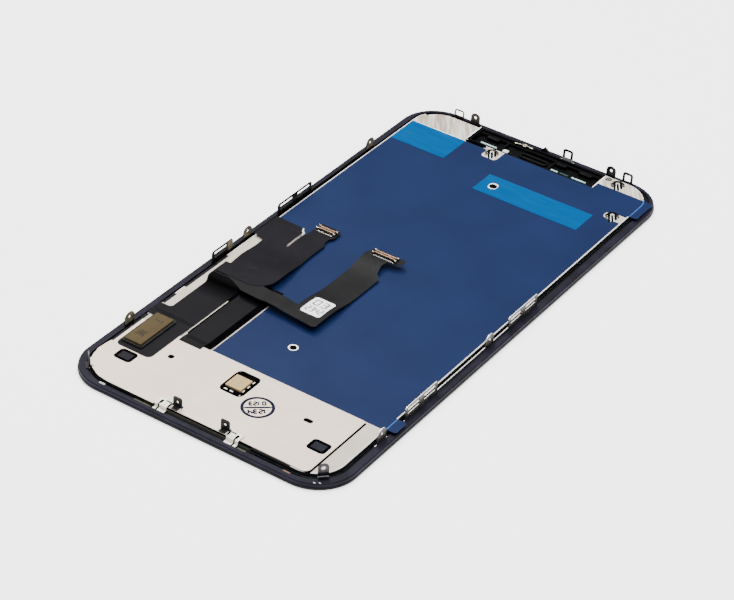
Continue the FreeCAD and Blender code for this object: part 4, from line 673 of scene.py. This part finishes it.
def folded_strip(path, thickness, start, width):
    """Bent metal strip: a path in Y and Z, thickened to both sides of its line, carried along X."""
    path = np.asarray(path, float)
    run = np.gradient(path, axis=0)
    run /= np.linalg.norm(run, axis=1)[:, None]
    off = np.stack([-run[:, 1], run[:, 0]], 1) * thickness / 2
    section = np.vstack([path + off, (path - off)[::-1]])
    count = len(section)
    points = np.array([np.column_stack([np.full(count, x), section]) for x in (start, start + width)])
    faces = grid_faces(2, count, wrap_columns=True)
    faces += [list(range(count)), list(range(count, 2 * count))[::-1]]
    return points, faces


def eased(value, start, end):
    """0 before the start, 1 past the end, and a smooth S between: three squares less two cubes."""
    part = np.clip((value - start) / (end - start), 0, 1)
    return part ** 2 * (3 - 2 * part)


def bead(path, width, level, height, across=7):
    """Low half-round carried along a path in X and Y, arched across it by a cosine."""
    path = np.asarray(path, float)
    run = np.gradient(path, axis=0)
    run /= np.linalg.norm(run, axis=1)[:, None]
    off = np.stack([run[:, 1], -run[:, 0]], 1)
    side = np.linspace(1, -1, across)
    flat = path[:, None] + off[:, None] * (side * width / 2)[None, :, None]
    rise = level + height * np.cos(side * np.pi / 2)
    return np.dstack([flat, np.broadcast_to(rise, flat.shape[:2])]), grid_faces(len(path), across)


# Detail pieces

def turned(blocks, centre, angle):
    """Blocks turned about an upright line through the centre."""
    spin = np.array([[math.cos(angle), math.sin(angle)], [-math.sin(angle), math.cos(angle)]])
    made = []
    for points, faces in blocks:
        points = np.array(points, float).reshape(-1, 3)
        points[:, :2] = (points[:, :2] - centre) @ spin + centre
        made.append((points, faces))
    return made


def stamp():
    """Round ink stamp with one line across and plain digits, on the shield."""
    ink = moulding("stamp_navy", (4, 7, 27), (8, 13, 40), 0.2, (0.5, 0.7), shine=0.08)
    level = box_mm("driver_shield")[1][2]
    x, y = STAMP_CENTRE
    blocks = [ring_band(STAMP_CENTRE, STAMP_RADIUS, STAMP_LINE, level, INK_HEIGHT),
              stroke((x - STAMP_RADIUS, y), (x + STAMP_RADIUS, y), STAMP_LINE * 0.8, level, INK_HEIGHT)]
    blocks += digits("1234", x - 2.1, y + 0.75, 0.72, 1.35, 0.48, level, INK_HEIGHT)
    blocks += digits("0123", x - 1.75, y - 1.95, 0.6, 1.15, 0.42, level, INK_HEIGHT)
    piece("shield_stamp", *many(turned(blocks, STAMP_CENTRE, STAMP_TURN)), ink, "board_black")


def connector_metal(side):
    """Copper contacts of one connector in two rows, silver solder feet and end clips, and the brown
    edge of the cover's window."""
    low, high = box_mm(side + "_connector")
    foot = low[2]
    top = high[2]
    count = int((high[0] - low[0] - 2 * END_CLIP_LENGTH) / PIN_PITCH)
    first = (low[0] + high[0]) / 2 - (count - 1) * PIN_PITCH / 2 - PIN_WIDTH / 2
    base = foot + PIN_THICKNESS / 2
    blocks = []
    clips = []
    for edge, way in ((low[1], 1), (high[1], -1)):
        hoop = [(edge + way * step, top + rise) for step, rise in PIN_HOOP]
        sole = [(edge + way * step, base + rise) for step, rise in PIN_SOLE]
        for index in range(count):
            start = first + index * PIN_PITCH
            blocks.append(folded_strip(hoop[::way], PIN_THICKNESS, start, PIN_WIDTH))
            clips.append(folded_strip(sole[::way], PIN_THICKNESS, start, PIN_WIDTH))
    copper = rolled_steel("contact_copper", (150, 108, 80), (214, 172, 138), (0.25, 0.35), 0.5)
    pins = piece(side + "_pins", *many(blocks), copper, "contact_gold", smooth=False)
    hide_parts(side + "_contacts")
    silver = rolled_steel("end_clip_silver", (170, 164, 158), (226, 222, 216), (0.2, 0.3))
    ends = ((low[0] - 0.12, low[0] + END_CLIP_LENGTH), (high[0] - END_CLIP_LENGTH, high[0] + 0.12))
    for left, right in ends:
        for front in (low[1] - 0.04, high[1] - 0.4):
            clips.append(rounded_block(left, right, front, front + 0.44, foot + 0.01, top + 0.06,
                                       0.1, 0.05))
    piece(side + "_end_clips", *many(clips), silver, "spring_metal")
    margin = COVER_WINDOW_MARGIN
    window = rounded_block(low[0] - margin, high[0] + margin * 0.5, low[1] - margin, high[1] + margin * 0.6,
                           foot - 0.02, foot + 0.012, 0.25, 0.01)
    resin = moulding("cover_window_brown", (14, 12, 12), (25, 22, 21), 0.1, (0.4, 0.5), shine=0.1)
    piece(side + "_cover_window", *window, resin, "flex_black")


def arm_top(y):
    """Height of the touch circuit's arm along Y: flat, then two tangent arcs down to the dip."""
    fold_top = box_mm("main_flex")[1][1]
    start = fold_top + ARM_SPAN[0]
    end = fold_top + ARM_SPAN[1]
    high = box_mm("flex_label")[1][2]
    length = end - start
    radius = (length ** 2 + ARM_DROP ** 2) / (4 * ARM_DROP)
    first = np.clip(y - start, 0, length / 2)
    second = np.clip(end - y, 0, length / 2)
    upper = radius - np.sqrt(radius ** 2 - first ** 2)
    lower = ARM_DROP - (radius - np.sqrt(radius ** 2 - second ** 2))
    return high - np.where(y < (start + end) / 2, upper, lower)


def label_marks():
    """Plain grey digits in two rows on the label, following its bend."""
    ink = moulding("label_ink", (44, 44, 48), (70, 70, 74), 0.1, (0.6, 0.7), shine=0.1)
    low, high = box_mm("flex_label")
    blocks = digits("03", low[0] + 1.0, high[1] - 3.3, 1.3, 2.2, 0.34, 0, PRINT_HEIGHT)
    blocks += digits("2342", low[0] + 0.8, low[1] + 1.1, 0.7, 1.7, 0.26, 0, PRINT_HEIGHT)
    points, faces = many(blocks)
    points[:, 2] += arm_top(points[:, 1])
    piece("label_marks", points, faces, ink, "label_white")


def lid_marks():
    """Square of dark cells in a fixed scatter and two plain bars on the controller's lid."""
    ink = moulding("lid_mark_brown", (26, 22, 16), (38, 32, 24), 0.1, (0.5, 0.6), shine=0.1)
    low, high = box_mm("module_lid")
    level = high[2]
    scatter = np.random.default_rng(11).random((LID_MARK_CELLS, LID_MARK_CELLS)) < 0.55
    corner = np.array([low[0] + 1.1, low[1] + 2.4])
    blocks = []
    for column, row in np.argwhere(scatter):
        x, y = corner + np.array([column, row]) * LID_MARK_PITCH
        blocks.append(stroke((x, y), (x, y + LID_MARK_PITCH), LID_MARK_PITCH, level, PRINT_HEIGHT, 4, 3))
    for x in (low[0] + 1.5, low[0] + 2.3, low[0] + 3.1):
        blocks.append(stroke((x, high[1] - 2.9), (x, high[1] - 1.9), 0.26, level, PRINT_HEIGHT))
    piece("lid_marks", *many(blocks), ink, "module_metal")
    low, high = box_mm("touch_chip_lid")
    blocks = [stroke((x, y), (x + 0.4, y), 0.14, high[2], PRINT_HEIGHT)
              for x in (low[0] + 0.6, low[0] + 1.4, low[0] + 2.2)
              for y in np.linspace(low[1] + 1, high[1] - 1, 4)]
    faint = moulding("chip_mark_tan", (134, 110, 76), (156, 132, 96), 0.1, (0.5, 0.6), shine=0.1)
    piece("chip_marks", *many(blocks), faint, "chip_metal")


def film_lines():
    """Lines that the plate's edge raises in the film under its two tabs: a half-round carried along
    the plate's outline, straight and then round its corner."""
    g = Graph("film_line_blue", 0.2)
    scuff = g.noise(0.4, 2)
    pale = g.finish(g.shade(scuff, (34, 70, 128), (52, 92, 148)), 0.35)
    plate = box_mm("back_plate")[1]
    film = box_mm("protective_film")[1]
    level = film[2]
    side, top = plate[0], plate[1]
    centre = (side - PANEL_CORNER, top - PANEL_CORNER)
    angle = np.linspace(0, np.radians(26), 12)
    upper = np.vstack([[(side, top - 13.0)],
                       np.stack([centre[0] + PANEL_CORNER * np.cos(angle),
                                 centre[1] + PANEL_CORNER * np.sin(angle)], 1)])
    shield = box_mm("driver_shield")[1][1]
    lower = [(side, shield + step) for step in (0.65, 2.9, 5.15)]
    blocks = [bead(path, FILM_LINE_WIDTH, level, FILM_LINE_HEIGHT) for path in (upper, lower)]
    piece("film_plate_lines", *many(blocks), pale, "blue_film")


def recess_parts():
    """Earpiece gasket, catches and a small white block in the notch's tray."""
    black = moulding("gasket_black", (3, 3, 4), (9, 9, 11), 0.1, (0.4, 0.5), shine=0.06)
    low, high = box_mm("sensor_tray")
    floor = low[2] + 0.2
    middle = (low[0] + high[0]) / 2
    y = low[1] + 3.4
    t, turn = np.meshgrid(circle(64), circle(10), indexing="ij")
    stretch = np.clip(2.2 * np.cos(t), -1, 1)
    reach = 0.9 + GASKET_WIDTH / 2 * np.cos(turn)
    x = middle - 0.6 + 2.9 * stretch + reach * np.cos(t)
    points = np.stack([x, y + reach * np.sin(t), floor + 0.25 + GASKET_WIDTH / 2 * np.sin(turn)], -1)
    piece("earpiece_gasket", points, grid_faces(*t.shape, True, True), black, "tray_black")
    blocks = [rounded_block(left, right, high[1] - 2.6, high[1] - 1.55, floor, floor + 0.9, 0.2, 0.12)
              for left, right in ((low[0] + 3.0, low[0] + 6.4), (high[0] - 6.2, high[0] - 2.6),
                                  (middle + 5.2, middle + 8.0))]
    piece("recess_catches", *many(blocks), black, "tray_black")
    white = moulding("recess_white", (190, 190, 184), (222, 222, 216), 0.1, (0.4, 0.5))
    block = rounded_block(-7.6, -6.1, low[1] + 1.1, low[1] + 2.5, floor, floor + 0.75, 0.3, 0.15)
    piece("recess_microphone", *block, white, "pad_white")


def window_shade_lines(left, right, front, back, past, level):
    """Low strokes of painted shade round one window of the cover, each run past its corners by a length."""
    corners = [(left, front), (right, front), (right, back), (left, back)]
    blocks = []
    for start, end in zip(corners, corners[1:] + corners[:1]):
        run = (np.array(end) - start) / np.linalg.norm(np.array(end) - start) * past
        blocks.append(stroke(start - run, end + run, SHADE_LINE_WIDTH, level, SHADE_LINE_HEIGHT))
    return blocks


def painted_shade_strokes():
    """Painted shade, each a low arched black stroke: a thin line in the gap round the foam windows and
    the chip window of the cover, strips round the gap beside each bracket's wide strap, and a strip
    along the notch."""
    black = moulding("painted_shade_black", (2, 2, 3), (6, 6, 8), 0.2, (0.5, 0.6), 0.004, 0.0)
    level = box_mm("driver_shield")[1][2]
    blocks = []
    for side in ("left", "right"):
        low, high = box_mm("foam_pad_" + side)
        blocks += window_shade_lines(low[0] - 0.08, high[0] + 0.08, low[1] - 0.08, high[1] + 0.08, 0.2, level)
    blocks += window_shade_lines(*CHIP_WINDOW, 0.0, level)
    front = box_mm("screw_bracket_right")[0][1]
    strap = level + 0.2
    for way in (-1, 1):
        for start, end, width in STRAP_GAP_SHADES:
            blocks.append(stroke((way * start[0], front + start[1]), (way * end[0], front + end[1]),
                                 width, strap, TAPE_ARCH))
    # painted shade in the cover's gaps
    piece("cover_gap_shade", *many(blocks), black, "board_black")
    tray = box_mm("sensor_tray")[0]
    plate = box_mm("back_plate")[1][2]
    # painted shade: a black strip along the notch
    tape = stroke((tray[0] - 0.2, tray[1] - 0.95), (-10.9, tray[1] - 0.95), 1.5, plate, TAPE_ARCH)
    piece("notch_shade", *tape, black, "tape_black")


def ring_rims():
    """Rims of the plate's two holes, low arched rings with a painted highlight, and black discs of
    painted shade in the holes, that bulge a little as the square of the distance from their middle;
    and a brown rivet on the plate."""
    bright = rolled_steel("rim_highlight_bright", (240, 240, 240), (255, 255, 255), (0.3, 0.4), 0.1, 0.001)
    black = moulding("hole_shade_black", (1, 1, 2), (4, 4, 5), 0.2, (0.6, 0.7), 0.004, 0.02)
    level = box_mm("back_plate")[1][2]
    rims = []
    discs = []
    for x, y, inner, outer in PLATE_HOLES:
        rims.append(ring_band((x, y), (inner + outer) / 2, outer - inner, level, 0.04))
        reach, angle = np.meshgrid(np.linspace(0.02, 1, 8), circle(48), indexing="ij")
        dome = np.stack([x + inner * reach * np.cos(angle), y + inner * reach * np.sin(angle),
                         level + 0.02 + 0.01 * (1 - reach ** 2)], -1)
        discs.append((dome, grid_faces(*reach.shape, wrap_columns=True) + [list(range(48))]))
    # painted highlight on the rims, painted shade in the holes
    piece("hole_rims", *many(rims), bright, "plate_steel")
    piece("hole_discs", *many(discs), black, "tape_black")
    brown = moulding("rivet_brown", (8, 6, 3), (42, 37, 27), 0.1, (0.4, 0.5), shine=0.1)
    rivet = [ring_band(RIVET, 0.62, 0.4, level, 0.05), ring_band(RIVET, 0.17, 0.3, level, 0.05, 24)]
    piece("plate_rivet", *many(rivet), brown, "dark_steel")


def plate_beads():
    """Painted highlights as low arched beads: the plate's folded edge along both ends of the notch, its
    strip in the slot of the main circuit, and a pale glint on the cut edge of the left tape."""
    # painted highlights: bright beads on the notch's ends and on the strip in the flex slot
    bright = rolled_steel("bead_highlight_bright", (240, 238, 232), (255, 253, 248), (0.3, 0.4), 0.1, 0.001)
    tray = box_mm("sensor_tray")
    tape = box_mm("pull_tape_left")
    level = box_mm("back_plate")[1][2]
    lines = [((tray[1][0] + 0.25, tray[0][1] - 0.3), (tray[1][0] + 0.25, tray[1][1] - 0.1), 0.4, 0.1),
             ((tray[0][0] - 0.25, tray[0][1] - 0.1), (tray[0][0] - 0.25, tray[1][1] - 0.1), 0.3, 0.04)]
    blocks = [stroke(start, end, width, level, height) for start, end, width, height in lines]
    blocks.append(bead(FLEX_SLOT, 0.42, level, 0.3))
    piece("plate_beads", *many(blocks), bright, "plate_steel")
    # painted highlight: a pale glint along the left tape's upper edge
    pale = moulding("tape_edge_glint", (196, 236, 246), (226, 248, 252), 0.1, (0.3, 0.4), 0.004)
    y = tape[1][1] + 0.16
    edge = stroke((tape[0][0] + 0.3, y), (tray[0][0] - 0.3, y), 0.42, level, 0.14)
    piece("tape_edge", *edge, pale, "blue_tape")


def circuit_border():
    """Dull black border along the narrow circuit's right edge, and a lip on its left edge that widens
    near the fold into painted shade: low half-rounds that follow the circuit's height."""
    black = moulding("border_black", (2, 2, 3), (6, 6, 7), 0.2, (0.5, 0.6), 0.004, 0.0)
    low, high = box_mm("backlight_flex")
    shield = box_mm("driver_shield")[1]
    plate = box_mm("back_plate")[1][2]
    film = box_mm("protective_film")[1][2]
    along = np.linspace(shield[1] - 0.1, high[1] - 0.2, 90)
    ground = shield[2] + (plate - shield[2]) * eased(along - shield[1], *SHIELD_STEP)
    ground += (film - plate) * eased(along - shield[1], *FILM_STEP)
    ground += CIRCUIT_LIFT
    blocks = []
    # the widest lip, from 17.5 mm past the cover, is painted shade under the fold
    for x, width, start in ((high[0] - BORDER_WIDTH / 2 - 0.03, BORDER_WIDTH, -1.0),
                            (low[0] - 0.12, 0.42, 2.0), (low[0] - 0.35, 0.9, 17.5)):
        near = along > shield[1] + start
        path = np.stack([np.full(near.sum(), x), along[near]], 1)
        blocks.append(bead(path, width, ground[near][:, None], TAPE_ARCH))
    piece("circuit_border", *many(blocks), black, "flex_black")


def ear_grommets():
    """Black grommets in the two screw ears: round the hole by one angle, and round the ring's own
    flattened section by the other."""
    black = moulding("grommet_black", (2, 2, 3), (8, 8, 9), 0.1, (0.4, 0.5), shine=0.1)
    around, section = np.meshgrid(circle(40), circle(10), indexing="ij")
    reach = GROMMET_REACH + GROMMET_WIDTH * np.cos(section)
    x, y, z = EAR_PLACE
    blocks = []
    for side in (-1, 1):
        ring = np.stack([side * x + reach * np.cos(around), y - GROMMET_DEPTH * np.sin(section),
                         z + reach * np.sin(around)], -1)
        blocks.append((ring, grid_faces(*reach.shape, True, True)))
    piece("ear_grommets", *many(blocks), black, "flex_black")


def plate_edge_seal():
    """Black tape on the plate's far edge, left of the notch: a low half-round that goes round the
    corner by angle and then straight along the edge."""
    black = moulding("edge_seal_black", (2, 2, 3), (6, 6, 8), 0.2, (0.5, 0.6), 0.004, 0.0)
    low, high = box_mm("back_plate")
    angle = np.linspace(np.radians(150), np.radians(90), 24)
    centre = np.array([low[0] + PANEL_CORNER, high[1] - PANEL_CORNER])
    reach = PANEL_CORNER - EDGE_SEAL_WIDTH / 2
    corner = centre + reach * np.stack([np.cos(angle), np.sin(angle)], 1)
    along = np.linspace(centre[0] + 0.5, box_mm("sensor_tray")[0][0] - 0.4, 12)
    straight = np.stack([along, np.full(12, high[1] - EDGE_SEAL_WIDTH / 2)], 1)
    seal = bead(np.vstack([corner, straight]), EDGE_SEAL_WIDTH, high[2], 0.06)
    piece("plate_edge_seal", *seal, black, "tape_black")


def spring_contacts():
    """Three contacts on the plate, their steel painted with black and white reflections. Each has a clasp
    with three prongs in black, two fingers between them in white, and a dished ring at either side,
    all low arches along straight lines or rings."""
    # painted reflections: black prongs and white fingers
    black = moulding("clasp_reflection_dark", (1, 1, 1), (7, 6, 5), 0.2, (0.45, 0.55), 0.004, 0.03)
    bright = rolled_steel("finger_reflection_bright", (236, 236, 240), (255, 255, 255), (0.25, 0.35), 0.1, 0.001)
    olive = moulding("wing_steel_olive", (14, 12, 8), (54, 50, 40), 0.2, (0.4, 0.5), 0.004, 0.08)
    level = box_mm("back_plate")[1][2]
    clasps, fingers, wings = [], [], []
    for centre in CONTACT_PLACES:
        clasps += contact_lines(centre, CLASP_LINES, 1.2, level, 0.18)
        fingers += contact_lines(centre, FINGER_LINES, 1.0, level, 0.2)
        for place in ((-1.25, 0.2), (1.2, 0.2)):
            wings.append(ring_band(contact_place(centre, place), 0.36, 0.4, level, 0.12, 24))
    made = piece("contact_clasps", *many(clasps), black, "dark_steel")
    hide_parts("ground_springs")
    piece("contact_fingers", *many(fingers), bright, "spring_metal")
    piece("contact_wings", *many(wings), olive, "dark_steel")


def contact_place(centre, place):
    """Place on the plate from steps across and up a contact, whose two directions are turned."""
    across = np.array([math.cos(CONTACT_ACROSS), math.sin(CONTACT_ACROSS)])
    upwards = np.array([math.cos(CONTACT_UP), math.sin(CONTACT_UP)])
    return np.array(centre) + place[0] * across + place[1] * upwards


def contact_lines(centre, lines, widen, level, height):
    """Low strokes of one contact, each from a start, an end and a width."""
    return [stroke(contact_place(centre, start), contact_place(centre, end), width * widen, level, height)
            for start, end, width in lines]


def recess_contact():
    """Small washer between two thin bars with bright ends, on the tray's upper wall."""
    steel = rolled_steel("contact_steel_bright", (190, 178, 150), (240, 232, 208), (0.25, 0.35), 0.3, 0.002)
    level = box_mm("sensor_tray")[1][2]
    x, y = WASHER
    blocks = [ring_band(WASHER, 0.42, 0.24, level, 0.1, 32),
              stroke((x - 2.4, y - 0.35), (x - 0.6, y - 0.05), 0.16, level, 0.1),
              stroke((x + 0.6, y + 0.05), (x + 2.4, y - 0.1), 0.2, level, 0.1),
              stroke((x - 2.7, y - 0.4), (x - 2.1, y - 0.3), 0.42, level, 0.14),
              stroke((x + 1.5, y - 0.05), (x + 2.4, y - 0.1), 0.34, level, 0.14)]
    made = piece("recess_contact", *many(blocks), steel, "spring_metal")
    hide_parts("sensor_contacts")


def small_parts():
    """Dark foam bit by the left ear and two pale dots on the rim by the right corner ear."""
    black = foam("foam_black", (10, 10, 12), (24, 24, 27))
    left, _, ledge = box_mm("side_ear_left")[0]
    blocks = [rounded_block(left + 0.25, left + 0.95, -47.9, -46.2, ledge, ledge + 0.8, 0.25, 0.1)]
    piece("ledge_foam", *many(blocks), black, "tray_black")
    pale = moulding("rim_dot_pale", (170, 168, 164), (214, 212, 208), 0.1, (0.3, 0.4))
    rim = box_mm("display_frame")[0][2] + 0.95
    dots = [rounded_block(x, x + 0.5, y, y + 0.22, rim, rim + 0.04, 0.08, 0.03)
            for x, y in ((30.4, -71.6), (31.4, -70.95))]
    piece("rim_dots", *many(dots), pale, "pad_white")


# Camera, lights and floor

def camera():
    """Camera at the photograph's angle."""
    azimuth, elevation, roll = [math.radians(a) for a in (VIEW_AZIMUTH, VIEW_ELEVATION, VIEW_ROLL)]
    back = Vector((math.sin(azimuth) * math.cos(elevation), -math.cos(azimuth) * math.cos(elevation),
                   math.sin(elevation)))
    right = Vector((0, 0, 1)).cross(back).normalized()
    up = back.cross(right)
    turned_right = right * math.cos(roll) + up * math.sin(roll)
    turned_up = up * math.cos(roll) - right * math.sin(roll)
    lens = bpy.data.cameras.new("photo_camera")
    lens.sensor_width = SENSOR_WIDTH
    lens.lens = FOCAL_PIXELS / PHOTO_WIDTH * SENSOR_WIDTH
    lens.clip_start = 0.01
    holder = bpy.data.objects.new("photo_camera", lens)
    bpy.context.scene.collection.objects.link(holder)
    turn = Matrix((turned_right, turned_up, back)).transposed().to_4x4()
    turn.translation = back * VIEW_DISTANCE + turned_right * VIEW_SHIFT[0] + turned_up * VIEW_SHIFT[1]
    holder.matrix_world = turn
    bpy.context.scene.camera = holder


def soft_light(name, place, size, power):
    """Square soft light that faces the object."""
    lamp = bpy.data.lights.new(name, "AREA")
    lamp.energy = power
    lamp.size = size
    holder = bpy.data.objects.new(name, lamp)
    bpy.context.scene.collection.objects.link(holder)
    holder.location = place
    holder.rotation_euler = (-Vector(place)).to_track_quat("-Z", "Y").to_euler()


def studio():
    """Pale floor, a dim even room and soft lights, the main one overhead."""
    world = bpy.data.worlds.new("even_room")
    world.use_nodes = True
    room = world.node_tree.nodes["Background"].inputs
    room["Color"].default_value = (1, 1, 1, 1)
    room["Strength"].default_value = 0.45
    bpy.context.scene.world = world
    soft_light("top_light", (0.0, 0.05, 0.8), 0.9, 18)
    soft_light("back_light", (-0.45, 0.3, 0.7), 0.3, 5)
    soft_light("front_light", (0.5, -0.45, 0.4), 0.4, 1.0)
    steps = np.linspace(-FLOOR_HALF, FLOOR_HALF, 25)
    x, y = np.meshgrid(steps, steps, indexing="ij")
    g = Graph("floor_pale", 0.2)
    cloud = g.noise(300, 2)
    pale = g.finish(g.shade(cloud, (245, 245, 245), (249, 249, 249)), 0.7)
    g.shader.inputs["Emission Color"].default_value = (1, 1, 1, 1)
    g.shader.inputs["Emission Strength"].default_value = 1.5
    piece("floor", np.dstack([x, y, np.zeros_like(x)]), grid_faces(*x.shape), pale, None)


coat_outside()
coat_hidden_layers()
stamp()
for circuit in ("display", "touch"):
    connector_metal(circuit)
label_marks()
lid_marks()
film_lines()
recess_parts()
painted_shade_strokes()
ring_rims()
plate_beads()
plate_edge_seal()
circuit_border()
ear_grommets()
spring_contacts()
recess_contact()
small_parts()
camera()
studio()
